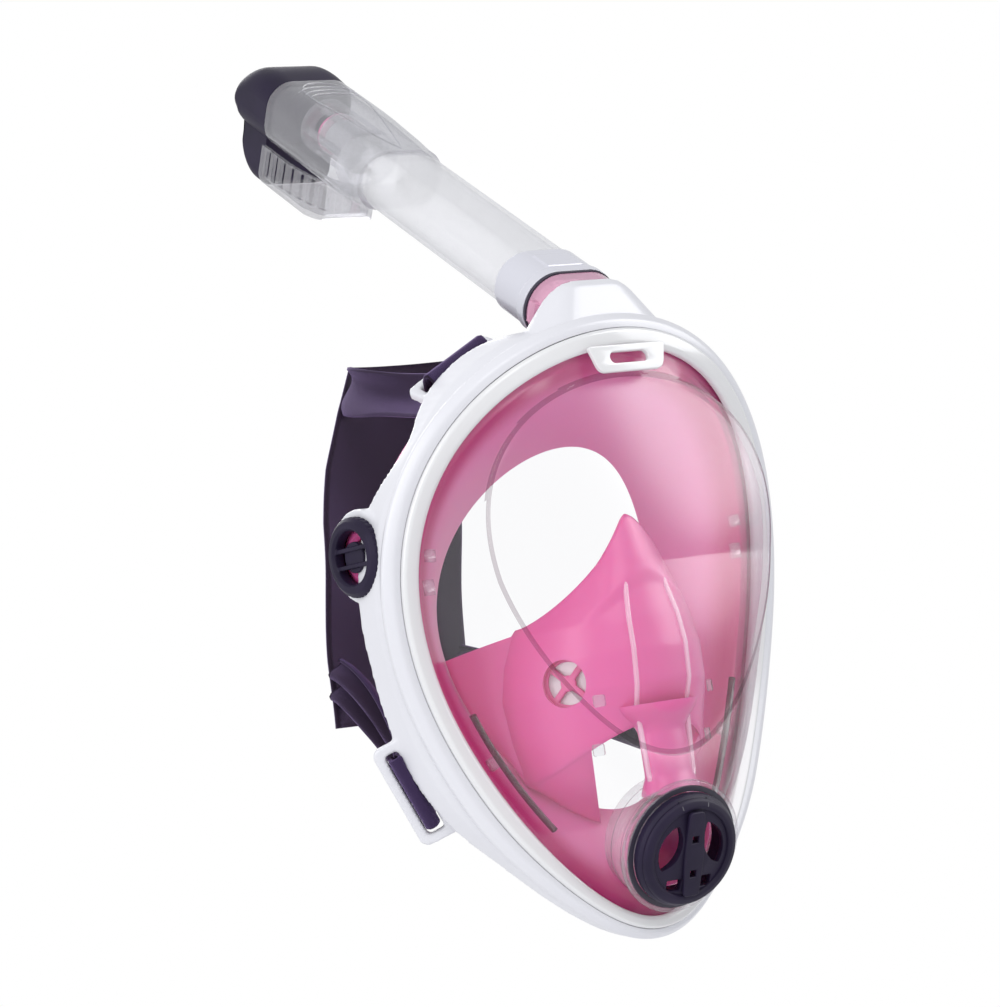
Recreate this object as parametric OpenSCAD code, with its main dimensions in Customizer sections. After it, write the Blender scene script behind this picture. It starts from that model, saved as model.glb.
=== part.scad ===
// Full face snorkel: a one-piece mask with a dry-top breathing tube that plugs into its forehead.
// Frame of the model: X to the wearer's left, Y back toward the head, Z up along the face.
// The origin is the middle of the lens rim.

/* [Lens rim] */
// Half width of the egg-shaped lens rim before the egg term
rim_w = 83.6; // [80:0.1:86]
// Half height of the lens rim
rim_h = 119.8; // [116:0.1:124]
// How much wider the rim is above its middle than below
rim_egg = 0.31; // [0.28:0.01:0.33]
// How far the rim sweeps back at its sides
rim_sweep = 26; // [22:0.1:28]
// How far the rim comes forward at the chin
rim_chin = 17.5; // [15:0.1:20]
// Forward lean of the rim toward the forehead, mm per mm of height
rim_lean = 0.22; // [0.2:0.01:0.24]

/* [Lens] */
// Wall thickness of the clear lens
lens_wall = 2.2; // [2:0.1:2.5]
// Half width of the raised front face
face_w = 68.6; // [66:0.1:70]
// Half height of the raised front face
face_h = 79.3; // [76:0.1:82]
// Height of the middle of the front face
face_mid = 27.8; // [24:0.1:31]
// Depth of the front face edge ahead of the origin
face_reach = 20.6; // [18:0.1:22]
// Extra bulge at the middle of the front face
face_bulge = 9; // [6:0.5:10]

/* [Frame] */
// Depth of the frame wall behind the rim at the brow and sides
frame_depth = 28; // [26:1:30]
// Thickness of the frame wall
frame_wall = 3; // [2.5:0.1:3]
// Length of each strap slot
slot_len = 38; // [36:1:42]
// Clear width of each strap slot
slot_gap = 8; // [7:0.5:9]

/* [Valves] */
// Diameter of the chin drain cover
chin_d = 49; // [47:0.5:50]
// How far the chin drain faces down from straight ahead
chin_tilt = 23; // [20:1:26]
// Diameter of the side valve covers
dial_d = 34; // [33:0.5:35]
// How far the side covers face forward
dial_turn = 6; // [4:1:8]
// Diameter of the two check valves of the nose pocket
check_d = 23; // [22:0.5:24]
// Lift of the thin valve flaps
flap_lift = 1.5; // [1:0.1:1.6]

/* [Snorkel] */
// Lean of the tube back from upright
tube_lean = 56.5; // [56:0.5:57]
// Width of the oval tube
tube_w = 41.5; // [41:0.5:42]
// Height of the oval tube
tube_h = 26; // [25.5:0.5:26]
// Wall thickness of the tube
tube_wall = 1.6; // [1.4:0.1:1.8]
// Depth to which the connector plugs into the forehead socket
plug_len = 7; // [6:0.5:7.5]
// Travel of the float up to its seat
float_travel = 7; // [5:0.5:7]

/* [Strap] */
// Width of the four strap tails
strap_w = 34; // [30:1:35]
// Thickness of the strap webbing
strap_t = 2.4; // [2:0.1:2.6]

/* [Hidden] */
$fn = 64;

fit = 0.08;                 // radial running clearance of a turning or sliding fit
gap = 0.2;                  // clearance between pieces that only lie against each other
stations = 72;              // steps around the rim of every swept ring
arcs = [for (i = [0 : stations - 1]) i * 360 / stations];

// Layers at the rim, measured back from the rim line
flange_t = 2;
bead_t = 3;
shelf_t = 2.5;
bead_back = flange_t + gap;
shelf_back = bead_back + bead_t + gap;

// Offsets out from the rim line
flange_out = 5;
bezel_out = 6.5;
frame_in = bezel_out + gap;

// Chin drain: centre of its front face
chin_at = [0, -16.5, -91];
barrel_r = chin_d / 2 + 2;
barrel_bore = 20.5;
lens_hole_r = barrel_r + gap;

// Side valves: centre of the boss face
dial_at = [97, 44.5, 48.5];
boss_r = 20;
boss_len = 13;
boss_bore = 14.5;

// Check valves on the pocket
check_at = [28.6, 4.5, -16.8];
check_turn = 52;

// Snorkel, measured along the tube from the mouth of the socket
socket_at = [0, -4.3, 136.6];
socket_w = tube_w + 6.5;
socket_h = tube_h + 6;
plug_w = tube_w - 3;
plug_h = tube_h - 3;
ring_top = 10.5;
seal_top = 12;
collar_top = 37;
tube_start = seal_top + 1.5;
tube_end = 180;
sleeve_start = 157;
chamber_start = 165;
chamber_end = 245;
cap_end = 280.5;
grille_start = 186;
grille_end = 248.5;
float_d = 21;
float_at = 191.5;
float_len = 24;

// --- Curves -------------------------------------------------------------------------------

function mix(a, b, f) = a + (b - a) * f;
function smooth(f) = let (c = min(max(f, 0), 1)) c * c * (3 - 2 * c);
function unit(v) = v / norm(v);

// Egg outline: angle 0 is the top, 90 is +X
function egg_x(a, w, e) = w * sin(a) * (1 + e * cos(a));

function rim_y(a) = let (u = egg_x(a, 1, rim_egg), c = min(cos(a), 0))
    rim_sweep * u * u - rim_chin * c * c - rim_lean * rim_h * cos(a);
function rim(a) = [egg_x(a, rim_w, rim_egg), rim_y(a), rim_h * cos(a)];
function rim_out(a) = unit([rim_h * sin(a), 0, rim_w * (cos(a) + rim_egg * cos(2 * a))]);
// The layers outside the rim are narrower under the chin
function chin_slim(a) = 1 - 0.4 * smooth(-2 * cos(a) - 1);
// A point beside the rim: out across the face plane and back toward the head
function at(a, out, back) = rim(a) + out * (out > 0 ? chin_slim(a) : 1) * rim_out(a)
    + [0, back, 0];

// Edge of the raised front face of the lens, and rings shrunk toward its middle
face_egg = 0.28;
face_sweep = 4;
face_lean = 0.06;
function face_ring(a, s, t = 0) = let (u = egg_x(a, 1, face_egg), c = cos(a))
    [egg_x(a, face_w - t, face_egg) * s,
     -face_reach + t + face_sweep * u * u * s * s - face_lean * face_h * abs(c) * s
        - face_bulge * (1 - s * s),
     face_mid + (face_h - t) * c * s];

// Wall of the lens from the flange up to the front face, fuller at the chin
chin_bulge = 14;
function wall_ring(a, f, t = 0) = mix(at(a, -3 - t, t), face_ring(a, 1, t), f)
    - [0, chin_bulge * sin(180 * f) * smooth(-cos(a)), 0];

// Edge of the face opening in the skirt
open_w = 56;
open_h = 78;
open_mid = 6;
open_egg = 0.1;
function opening(a, grow, back) = let (u = egg_x(a, 1, open_egg))
    [egg_x(a, open_w + grow, open_egg), 25 + back + 33 * u * u,
     open_mid + (open_h + grow) * cos(a)];

// The frame wall is shallower between the upper lugs and the side bosses
dip = 10;
dip_at = 46;
dip_half = 13;
function frame_back(a) = frame_depth - 16 * pow((1 - cos(a)) / 2, 3)
    - dip * smooth(1 - abs(min(a, 360 - a) - dip_at) / dip_half);

// --- Builders -----------------------------------------------------------------------------

// Closed ring: rows[i] is the same closed outline at each station
module ring_of(rows) {
    n = len(rows);
    m = len(rows[0]);
    polyhedron([for (r = rows) each r], [for (i = [0 : n - 1], j = [0 : m - 1])
        let (k = (i + 1) % n, l = (j + 1) % m, a = i * m + j, b = k * m + j,
             c = k * m + l, d = i * m + l) each [[a, b, c], [a, c, d]]], convexity = 8);
}

// Open band: rows[i] is the same closed outline, capped at both ends
module band_of(rows) {
    n = len(rows);
    m = len(rows[0]);
    polyhedron([for (r = rows) each r], [
        for (i = [0 : n - 2], j = [0 : m - 1])
            let (l = (j + 1) % m, a = i * m + j, b = a + m, c = b - j + l, d = a - j + l)
            each [[a, b, c], [a, c, d]],
        for (j = [1 : m - 2]) [0, j, j + 1],
        for (j = [1 : m - 2]) let (o = (n - 1) * m) [o, o + j + 1, o + j]], convexity = 8);
}

// Cupped shell of nested rings: the first and last ring are closed by fans
module shell_of(rows) {
    n = len(rows);
    m = len(rows[0]);
    polyhedron([for (r = rows) each r], [
        for (i = [0 : n - 2], j = [0 : m - 1])
            let (l = (j + 1) % m, a = i * m + j, b = a + m, c = b - j + l, d = a - j + l)
            each [[a, b, c], [a, c, d]],
        for (j = [1 : m - 2]) [0, j, j + 1],
        for (j = [1 : m - 2]) let (o = (n - 1) * m) [o, o + j + 1, o + j]], convexity = 8);
}

// Ribbon through stations [point, width direction, width]
module ribbon(path, t) {
    n = len(path);
    band_of([for (i = [0 : n - 1])
        let (p = path[i][0], d = unit(path[i][1]),
             along = unit(path[min(i + 1, n - 1)][0] - path[max(i - 1, 0)][0]),
             w = unit(d - along * (d * along)) * path[i][2] / 2,
             up = unit(cross(along, w)) * t / 2)
        [p - w - up, p + w - up, p + w + up, p - w + up]]);
}

// Oval section, straight across the middle
module oval(w, h) {
    square([w - h, h], center = true);
    for (x = [-1, 1]) translate([x * (w - h) / 2, 0]) circle(d = h);
}
module oval_tube(w, h, wall, length) linear_extrude(length) difference() {
    oval(w, h);
    oval(w - 2 * wall, h - 2 * wall);
}
module rounded(w, h, r) {
    square([w - 2 * r, h], center = true);
    square([w, h - 2 * r], center = true);
    for (x = [-1, 1], y = [-1, 1]) translate([x * (w / 2 - r), y * (h / 2 - r)]) circle(r);
}
module tube_of(outer, inner, length) difference() {
    cylinder(r = outer, h = length);
    translate([0, 0, -1]) cylinder(r = inner, h = length + 2);
}

// Places: local +Z points out of each valve, or along the tube
module at_chin() translate(chin_at) rotate([90 + chin_tilt, 0, 0]) children();
module at_dial(s) translate([s * dial_at[0], dial_at[1], dial_at[2]])
    rotate([0, 0, -s * dial_turn]) rotate([0, s * 90, 0]) children();
module at_check(s) translate([s * check_at[0], check_at[1], check_at[2]])
    rotate([0, 0, -s * (90 - check_turn)]) rotate([0, s * 90, 0]) children();
module at_tube(z = 0) translate(socket_at) rotate([-tube_lean, 0, 0]) translate([0, 0, z]) children();

// --- Mask shell ---------------------------------------------------------------------------

// One strap lug: a plate with a slot, from the frame's back edge
lug_arc = [24, 112];
lug_out = [12, 16];
lug_far = [39, 27];
lug_lean = [30, 50];
lug_t = 4;
function lug_dir(k) = let (a = lug_arc[k]) rim_out(a) * sin(lug_lean[k]) + [0, cos(lug_lean[k]), 0];
function lug_at(k) = at(lug_arc[k], lug_out[k], lug_far[k]);
module lug(s, k) {
    g = lug_dir(k);
    n = rim_out(lug_arc[k]);
    t = [n[2], 0, -n[0]];
    f = cross(t, g);
    p = lug_at(k);
    mirror([s < 0 ? 1 : 0, 0, 0])
        multmatrix([[t[0], g[0], f[0], p[0]], [t[1], g[1], f[1], p[1]],
                    [t[2], g[2], f[2], p[2]], [0, 0, 0, 1]])
        translate([0, 0, -lug_t / 2]) linear_extrude(lug_t) difference() {
            translate([0, -3]) rounded(slot_len + 9, slot_gap + 15, 4);
            square([slot_len, slot_gap], center = true);
        }
}

// Neck that carries the socket, cut back to the inside of the frame wall
duct = [34, 14];
duct_wall = 5;
duct_at = [0, -7, 116];
module neck() {
    difference() {
        hull() {
            at_tube(-5) linear_extrude(5) oval(socket_w, socket_h, $fn = 32);
            translate([0, -8, 120]) linear_extrude(4) oval(72, 36, $fn = 32);
        }
        ring_of([for (a = arcs) [at(a, -40, -30), at(a, -40, 60), at(a, frame_in + 0.5, 60),
            at(a, frame_in + 0.5, -30)]]);
    }
    translate(duct_at + [0, 2, 0]) linear_extrude(12.5)
        rounded(duct[0] + 3 * duct_wall, duct[1] + 2 * duct_wall, 6);
}

module frame() color("whitesmoke") difference() {
    union() {
        ring_of([for (a = arcs) let (d = frame_back(a)) [
            at(a, frame_in, -1), at(a, frame_in, shelf_back), at(a, 0.5, shelf_back),
            at(a, 0.5, shelf_back + shelf_t), at(a, frame_in, shelf_back + shelf_t),
            at(a, frame_in, d), at(a, frame_in + frame_wall, d),
            at(a, frame_in + frame_wall + 0.4, d * 0.5), at(a, frame_in + frame_wall, 2),
            at(a, frame_in + 2, -1)]]);
        for (s = [-1, 1]) {
            at_dial(s) translate([0, 0, -boss_len]) cylinder(r = boss_r, h = boss_len);
            lug(s, 0);
            lug(s, 1);
        }
        neck();
    }
    for (s = [-1, 1]) at_dial(s) {
        translate([0, 0, -boss_len - 6]) cylinder(r = boss_bore + 1.5, h = boss_len + 12);
        cylinder(r = dial_d / 2 + 1, h = 8);
    }
    at_tube(-plug_len - 1) linear_extrude(plug_len + 10)
        oval(plug_w + 2 * fit, plug_h + 2 * fit);
    at_tube() linear_extrude(50) oval(socket_w + 1, socket_h + 1);
    translate(duct_at - [0, 0, 1]) linear_extrude(25) rounded(duct[0], duct[1], 3);
}

tab_w = 32;
tab_slot = [19.5, 5.4];
module bezel_tab() translate([0, -31, 113]) rotate([90 - 8, 0, 0]) linear_extrude(2.6) difference() {
    polygon([[-tab_w / 2 - 3, 5], [-tab_w / 2, -6], [tab_w / 2, -6], [tab_w / 2 + 3, 5]]);
    rounded(tab_slot[0], tab_slot[1], 2);
}
module bezel() color("gainsboro") {
    ring_of([for (a = arcs) [
        at(a, 0, -3.6), at(a, -1.5, -2.6), at(a, -1.5, -gap), at(a, flange_out + gap, -gap),
        at(a, flange_out + gap, 2), at(a, bezel_out, 2), at(a, bezel_out, -2.2),
        at(a, bezel_out - 1.5, -3.6)]]);
    bezel_tab();
}

// Outline rings from the flange's outer edge to the middle of the front face
function lens_skin(t) = concat(
    [[for (a = arcs) at(a, flange_out, t > 0 ? flange_t : 0)]],
    [[for (a = arcs) at(a, -3 - t, t > 0 ? flange_t : 0)]],
    [for (f = [0.1, 0.3, 0.5, 0.7, 0.86]) [for (a = arcs) wall_ring(a, f, t)]],
    [for (s = [1, 0.96, 0.82, 0.6, 0.34, 0.08]) [for (a = arcs) face_ring(a, s, t)]]);
module lens() color([0.9, 0.95, 1, 0.3]) difference() {
    outer = lens_skin(0);
    inner = lens_skin(lens_wall);
    n = len(outer);
    shell_of(concat([for (i = [n - 1 : -1 : 0]) outer[i]], inner));
    at_chin() {
        translate([0, 0, -45]) cylinder(r = lens_hole_r, h = 70);
        translate([0, 0, -3.2]) cylinder(r = lens_hole_r + 2.2, h = 20);
    }
}

skin_t = 2;
module face_skirt() color("hotpink") difference() {
    ring_of([for (a = arcs)
    let (b = at(a, -4, bead_back), c = at(a, -4, bead_back + bead_t),
         e = opening(a, 0, 0), f = opening(a, 1.5, skin_t), g = opening(a, 9, 12),
         h = opening(a, 10.5, 10.5))
    [at(a, flange_out, bead_back), b, mix(b, e, 0.3) + [0, -1, 0], mix(b, e, 0.65) + [0, -1.5, 0],
     e, g, h, mix(c, f, 0.92), mix(c, f, 0.65) + [0, -1.5, 0], mix(c, f, 0.3) + [0, -1, 0],
     c, at(a, flange_out, bead_back + bead_t)]]);
    translate([0, duct_at[1], 106]) cube([duct[0], duct[1], 22], center = true);
}

// --- Nose and mouth pocket ----------------------------------------------------------------

// Rows: height, half width at the face, nose line, face line
pocket_rows = [[50, 13, -12, 8], [30, 24, -18.5, 16], [6, 40, -23.5, 30], [-7, 44, -25, 34],
    [-21, 46, -23.5, 36], [-40, 44, -15.5, 35], [-60, 40, -12, 32]];
function pocket_at(z, k) = lookup(-z, [for (r = pocket_rows) [-r[0], r[k]]]);
function pocket_point(a, v, t) = let (
    side = smooth(abs(a) / 88),
    z = mix(mix(49, 8, side), mix(-36, -56, side), v),
    w = pocket_at(z, 1) - t, front = pocket_at(z, 2) + t, back = pocket_at(z, 3))
    [w * sin(a), front + (back - front) * (1 - cos(a)), z];
pocket_arcs = [for (i = [-16 : 16]) i * 5.5];
pocket_steps = [for (i = [0 : 14]) i / 14];
// Webs from the pocket's sides out to the lip of the skirt, open below the chin
web_steps = 24;
web_arc = [95, 163];
web_gap = [0.5, 2.4];
function web_root(q) = q < 0.6 ? pocket_point(88, q / 0.6, skin_t / 2)
    : pocket_point(88 - 46 * (q - 0.6) / 0.4, 1, skin_t / 2);
function web_out(q) = let (a = mix(web_arc[0], web_arc[1], q))
    mix(opening(a, 0, 0), at(a, -4, 2.2), 0.1) + [0, -3.4, 0];
function web_in(q) = web_root(q)
    + unit(web_out(q) - web_root(q)) * mix(web_gap[0], web_gap[1], smooth((q - 0.45) / 0.15));
function web_row(q) = let (p = web_in(q), o = web_out(q), step = 0.5 / web_steps,
    q1 = max(q - step, 0), q2 = min(q + step, 1),
    run = web_out(q2) + web_in(q2) - web_out(q1) - web_in(q1),
    n = unit(cross(o - p, run)) * skin_t * 0.45)
    [p - n, o - n, o + n, p + n];
module pocket_web(s) band_of([for (i = [0 : web_steps]) let (r = web_row(i / web_steps))
    [for (k = [0 : 3]) flip(s, r[s > 0 ? 3 - k : k])]]);
column_r = 8.5;
column_y = -14;
module oronasal_pocket() color("palevioletred") {
    for (s = [-1, 1]) pocket_web(s);
    difference() {
        band_of([for (a = pocket_arcs) concat(
            [for (v = pocket_steps) pocket_point(a, v, 0)],
            [for (i = [14 : -1 : 0]) pocket_point(a, pocket_steps[i], skin_t)])]);
        for (s = [-1, 1]) at_check(s) translate([0, 0, -14]) cylinder(r = check_d / 2 - 1.5, h = 28);
    }
    difference() {
        translate([0, column_y, -37]) rotate([180, 0, 0]) tube_of(column_r, column_r - skin_t, 32);
        at_chin() translate([0, 0, -26]) cylinder(r = barrel_r + gap, h = 40);
    }
}

clip_at = [[34, -26], [36, -46]];
module pocket_clips() color("lightcyan") for (s = [-1, 1], c = clip_at)
    let (z = c[1], w = pocket_at(z, 1), front = pocket_at(z, 2), back = pocket_at(z, 3),
         p = [s * w * sin(c[0]), front + (back - front) * (1 - cos(c[0])), z])
    translate(p + [s * 0.6, -0.8, 0]) rotate([0, 0, -s * 40]) rotate([0, s * 90, 0])
        translate([0, 0, 1.6]) linear_extrude(2) rounded(5, 5, 1);

// --- Valves -------------------------------------------------------------------------------

// Ring with spokes: a seat that a thin flap lies on
module spoked(outer, hole, length, spokes, width) {
    tube_of(outer, hole, length);
    for (i = [0 : spokes - 1]) rotate([0, 0, i * 360 / spokes + 45])
        translate([0, -width / 2, 0]) cube([hole + 1, width, length]);
    cylinder(r = width * 1.3, h = length);
}

module check_valve_seat(s) color("palevioletred") at_check(s) translate([0, 0, 1.4]) {
    spoked(check_d / 2, check_d / 2 - 2.5, 2, 4, 2.6);
}
module check_valve_flap(s) color("pink") at_check(s) translate([0, 0, 0.3])
    cylinder(r = check_d / 2 - 2.2, h = 0.9);

// Clear barrel through the lens with a flange in front of it
module chin_valve_housing() color([0.9, 0.95, 1, 0.4]) at_chin() difference() {
    union() {
        translate([0, 0, -20]) tube_of(barrel_r, barrel_bore + 0.5, 19.8);
        translate([0, 0, -3]) tube_of(barrel_r + 2.2, barrel_r - 1, 2.8);
    }
    translate([0, 0, -1.5]) tube_of(barrel_bore + 6.3, barrel_bore + 3.9, 3);
}
module chin_valve_seat() color("pink") at_chin() translate([0, 0, -12])
    spoked(barrel_bore + 0.4, 14, 2.4, 3, 3);
module chin_valve_flap() color("deeppink") at_chin() translate([0, 0, -9.4])
    cylinder(r = 17, h = 1.2);
module chin_valve_seal() color("darkslategray") at_chin() translate([0, 0, -1.4])
    rotate_extrude() translate([barrel_bore + 4, 0]) square([2.2, 1.2]);

// Leaf-shaped window
module leaf(length, width) {
    r = (length * length / 4 + width * width / 4) / width;
    intersection() {
        translate([r - width / 2, 0]) circle(r);
        translate([width / 2 - r, 0]) circle(r);
    }
}
module chin_valve_cover() color([0.18, 0.15, 0.25]) at_chin() difference() {
    union() {
        translate([0, 0, 0.2]) rotate_extrude() polygon([[0, 4], [0, 8], [9, 7.6], [15, 6.4],
            [chin_d / 2 - 4, 5.6], [chin_d / 2 - 1, 4.6], [chin_d / 2, 3], [chin_d / 2, 0],
            [chin_d / 2 - 3, 0], [chin_d / 2 - 3.5, 2.4], [16, 3.4]]);
        translate([0, 0, -6]) tube_of(barrel_bore + 0.5 - fit, barrel_bore - 1.5, 9);
    }
    for (s = [-1, 1]) {
        translate([s * 10.8, 3, -1]) rotate([0, 0, s * 20]) linear_extrude(12) leaf(20, 10);
        translate([s * 7.5, -13.5, -1]) linear_extrude(12) square([7, 5], center = true);
    }
    for (y = [6.5, -8.5]) translate([0, y, -1]) linear_extrude(12) square([4.4, 4.4], center = true);
}

module side_valve_seat(s) color("pink") at_dial(s) translate([0, 0, -9])
    spoked(boss_bore + 1.3, boss_bore - 4, 2.2, 4, 2);
module side_valve_flap(s) color("deeppink") at_dial(s) translate([0, 0, -6.6])
    cylinder(r = boss_bore - 2, h = 1);
module side_valve_cover(s) color([0.18, 0.15, 0.25]) at_dial(s) {
    difference() {
        translate([0, 0, 0.2]) rotate_extrude() polygon([[11, 0], [11.4, 4.2], [12.4, 5.4],
            [dial_d / 2 - 2, 5], [dial_d / 2, 3.2], [dial_d / 2, 0]]);
        for (i = [0 : 35]) rotate([0, 0, i * 10]) translate([dial_d / 2 + 0.55, 0, -1]) cylinder(r = 0.9, h = 8, $fn = 12);
    }
    translate([0, 0, -4.2]) tube_of(boss_bore + 1.5 - fit, boss_bore, 4.8);
    for (x = [-1, 1]) translate([x * 3.6 - 0.9, -11.4, 1.6]) cube([1.8, 22.8, 2.6]);
    translate([0, 0, 0.4]) cylinder(r = 6.6, h = 2.6);
}

// --- Snorkel ------------------------------------------------------------------------------

latch_size = [9.4, 4.6];
latch_mid = (gap + ring_top) / 2;
module snorkel_connector() color([1, 0.6, 0.8, 0.7]) at_tube() difference() {
    union() {
        translate([0, 0, gap]) linear_extrude(ring_top - gap) oval(tube_w + 2.5, tube_h + 3);
        translate([0, 0, -plug_len]) linear_extrude(plug_len + 1) oval(plug_w, plug_h);
    }
    translate([0, 0, -plug_len - 1]) linear_extrude(plug_len + ring_top + 2)
        oval(plug_w - 5, plug_h - 5);
    for (s = [-1, 1]) translate([s * (tube_w / 2 + 1.5), 0, latch_mid])
        cube([7, latch_size[0], latch_size[1]], center = true);
}
module release_latch(s) color([1, 0.75, 0.88]) at_tube()
    translate([s * (tube_w / 2 + 0.8), 0, latch_mid])
    cube([3, latch_size[0] - 2 * fit, latch_size[1] - 2 * fit], center = true);
module connector_seal() color([0.2, 0.17, 0.25]) at_tube(ring_top + 0.05)
    oval_tube(tube_w + 3.5, tube_h + 4, 3.4, seal_top - ring_top - 0.1);

module tube_collar() color("lightsteelblue") at_tube() difference() {
    union() {
        translate([0, 0, seal_top]) linear_extrude(5) oval(tube_w + 4.5, tube_h + 4);
        translate([0, 0, seal_top + 4]) linear_extrude(collar_top - seal_top - 4)
            oval(tube_w + 2.6, tube_h + 2.6);
        translate([-9, -tube_h / 2 - 2, seal_top + 7]) cube([18, 3, 12]);
    }
    translate([0, 0, tube_start]) linear_extrude(60) oval(tube_w + 0.1, tube_h + 0.1);
    translate([0, 0, seal_top - 1]) linear_extrude(6)
        oval(tube_w - 2 * tube_wall, tube_h - 2 * tube_wall);
}
module snorkel_tube() color([0.95, 0.96, 1, 0.5]) at_tube(tube_start)
    oval_tube(tube_w, tube_h, tube_wall, tube_end - tube_start);
divider_x = 7;
module tube_divider() color([0.92, 0.94, 1, 0.6]) at_tube(tube_start + 2)
    for (s = [-1, 1]) translate([s * divider_x - 0.6, -tube_h / 2 + tube_wall + 0.1, 0])
        cube([1.2, tube_h - 2 * tube_wall - 0.2, tube_end - tube_start - 12]);

// Side outline of the dry top, in [along the tube, up from its axis]
top_w = 46;
module side_solid(outline, w) rotate([0, -90, 0]) translate([0, 0, -w / 2]) linear_extrude(w)
    polygon([for (p = outline) [p[0], -p[1]]]);
module top_solid(outline, w, low, high, r) intersection() {
    side_solid(outline, w + 10);
    translate([0, -(high + low) / 2, sleeve_start - 10]) linear_extrude(cap_end)
        rounded(w, high - low, r);
}
top_high = 16.2;
top_low = -16.4;
outer_line = [[sleeve_start, -14.6], [sleeve_start, 14.6], [chamber_start, 15.2],
    [206, top_high], [chamber_end, top_high], [chamber_end, top_low], [tube_end, top_low],
    [chamber_start, -15.2]];
inner_line = [[tube_end - 2, -13.4], [tube_end - 2, 13.4], [206, top_high - 2.2],
    [chamber_end + 5, top_high - 2.2], [chamber_end + 5, -13.4]];
floor_line = [[grille_start + 2, -10], [chamber_end + 5, -10], [chamber_end + 5, -26],
    [grille_start + 2, -26]];
module dry_top_housing() color([0.95, 0.97, 1, 0.45]) at_tube() difference() {
    top_solid(outer_line, top_w, top_low, top_high, 13);
    top_solid(inner_line, top_w - 4.4, -13.4, top_high - 2.2, 11);
    basket_plan(3) top_solid(floor_line, basket_w - 6, -26, -5, 3);
    translate([0, 0, sleeve_start - 1]) linear_extrude(tube_end - sleeve_start + 1.2)
        oval(tube_w + 0.1, tube_h + 0.1);
}
// The cap: a full-width visor over the end and a narrower block behind the basket
cap_low = -37.5;
cap_high = 17;
block_w = 37;
visor_line = [[chamber_end + gap, -15.5], [chamber_end + gap, 15.8], [257, cap_high],
    [268.5, 16], [276.5, 11], [cap_end, 3.4], [280, -4.6], [276.5, -11.6], [272.5, -15.5]];
visor_hollow = [[chamber_end - 5, -13], [chamber_end - 5, 13.6], [257, cap_high - 2.4],
    [267.5, 13.6], [274.5, 9.2], [cap_end - 2.6, 2.8], [277.4, -4], [274.4, -10.2], [271, -13]];
block_line = [[grille_end + gap, cap_low], [grille_end + gap, -14.5], [273.5, -14.5],
    [273, -25.5], [267.5, -33.5], [260.5, cap_low]];
block_hollow = [[grille_end - 5, cap_low + 2.4], [grille_end - 5, -6], [271, -6],
    [270.6, -24.5], [266, -31.5], [260, cap_low + 2.4]];
module dry_top_cap() color([0.18, 0.15, 0.25]) at_tube() difference() {
    union() {
        top_solid(visor_line, top_w, -15.5, cap_high, 11);
        top_solid(block_line, block_w, cap_low, 0, 8);
    }
    top_solid(visor_hollow, top_w - 4.8, -13, cap_high - 2.4, 9);
    top_solid(block_hollow, block_w - 4.8, cap_low + 2.4, 2, 6);
}

// Louvred basket under the housing
rib_pitch = 7.2;
rib_count = 7;
basket_w = top_w - 5;
basket_top = top_low - gap;
basket_nose = 45;
grille_line = [[grille_start, basket_top], [grille_end, basket_top], [grille_end, cap_low],
    [grille_start + 14, cap_low + 2], [grille_start + 4, cap_low + 4.5],
    [grille_start, cap_low + 9.5]];
grille_hollow = [[grille_start + 2, -10], [grille_end + 4, -10], [grille_end + 4, cap_low + 2],
    [grille_start + 14, cap_low + 4], [grille_start + 5.4, cap_low + 6.1],
    [grille_start + 2, cap_low + 10.5]];
module basket_plan(wall) intersection() {
    children();
    translate([0, 45, grille_start + basket_nose]) rotate([90, 0, 0]) linear_extrude(60) {
        scale([basket_w / 2 - wall, basket_nose - wall]) circle(1);
        translate([wall - basket_w / 2, 0]) square([basket_w - 2 * wall, 90]);
    }
}
module intake_grille() color([0.95, 0.97, 1, 0.4]) at_tube() difference() {
    basket_plan(0) top_solid(grille_line, basket_w, cap_low, 10, 8);
    basket_plan(2) top_solid(grille_hollow, basket_w - 4, cap_low + 2, 10, 6);
    for (i = [0 : rib_count - 1]) translate([-40, 17.5, grille_start + 10 + i * rib_pitch])
        cube([80, 12.5, 4.4]);
}

module float() color([0.95, 0.95, 1, 0.6]) at_tube(float_at) difference() {
    cylinder(d = float_d, h = float_len);
    translate([0, 0, -1]) cylinder(d = float_d - 4, h = float_len - 2);
}
module float_seal() color("pink") at_tube(float_at + float_len + 0.05)
    cylinder(d = float_d - 1, h = 1.6);
seat_at = float_at + float_len + 1.65 + float_travel + gap;
module float_seat() color([0.95, 0.97, 1, 0.5]) at_tube() {
    translate([0, 0, seat_at]) tube_of(float_d / 2 + 3, float_d / 2 - 3, 3);
    for (i = [0 : 5]) rotate([0, 0, i * 60]) translate([float_d / 2 + fit + 0.4, -1.5, float_at - 6])
        cube([2.2, 3, seat_at - float_at + 7]);
    translate([0, 0, float_at - 9]) tube_of(float_d / 2 + 2.6, float_d / 2 - 4, 4);
}

// --- Strap --------------------------------------------------------------------------------

// The back panel hangs a little to the wearer's right of the middle, narrower at its top.
// Rows: height, right edge, left edge
panel_rows = [[-20, -82, 0], [10, -79, 4], [40, -74, 8], [70, -68, 12], [95, -60, 14],
    [120, -48, 15], [140, -36, 16]];
panel_steps = 14;
function panel_edge(z, k) = lookup(z, [for (r = panel_rows) [r[0], r[k]]]);
function panel_y(x) = 138 - 25 * pow(x / 80, 2);
module strap_back_panel() color([0.2, 0.14, 0.28]) band_of([for (r = panel_rows) concat(
    [for (i = [0 : panel_steps]) let (x = mix(r[2], r[1], i / panel_steps)) [x, panel_y(x), r[0]]],
    [for (i = [panel_steps : -1 : 0]) let (x = mix(r[2], r[1], i / panel_steps))
        [x, panel_y(x) + strap_t, r[0]]])]);

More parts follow.
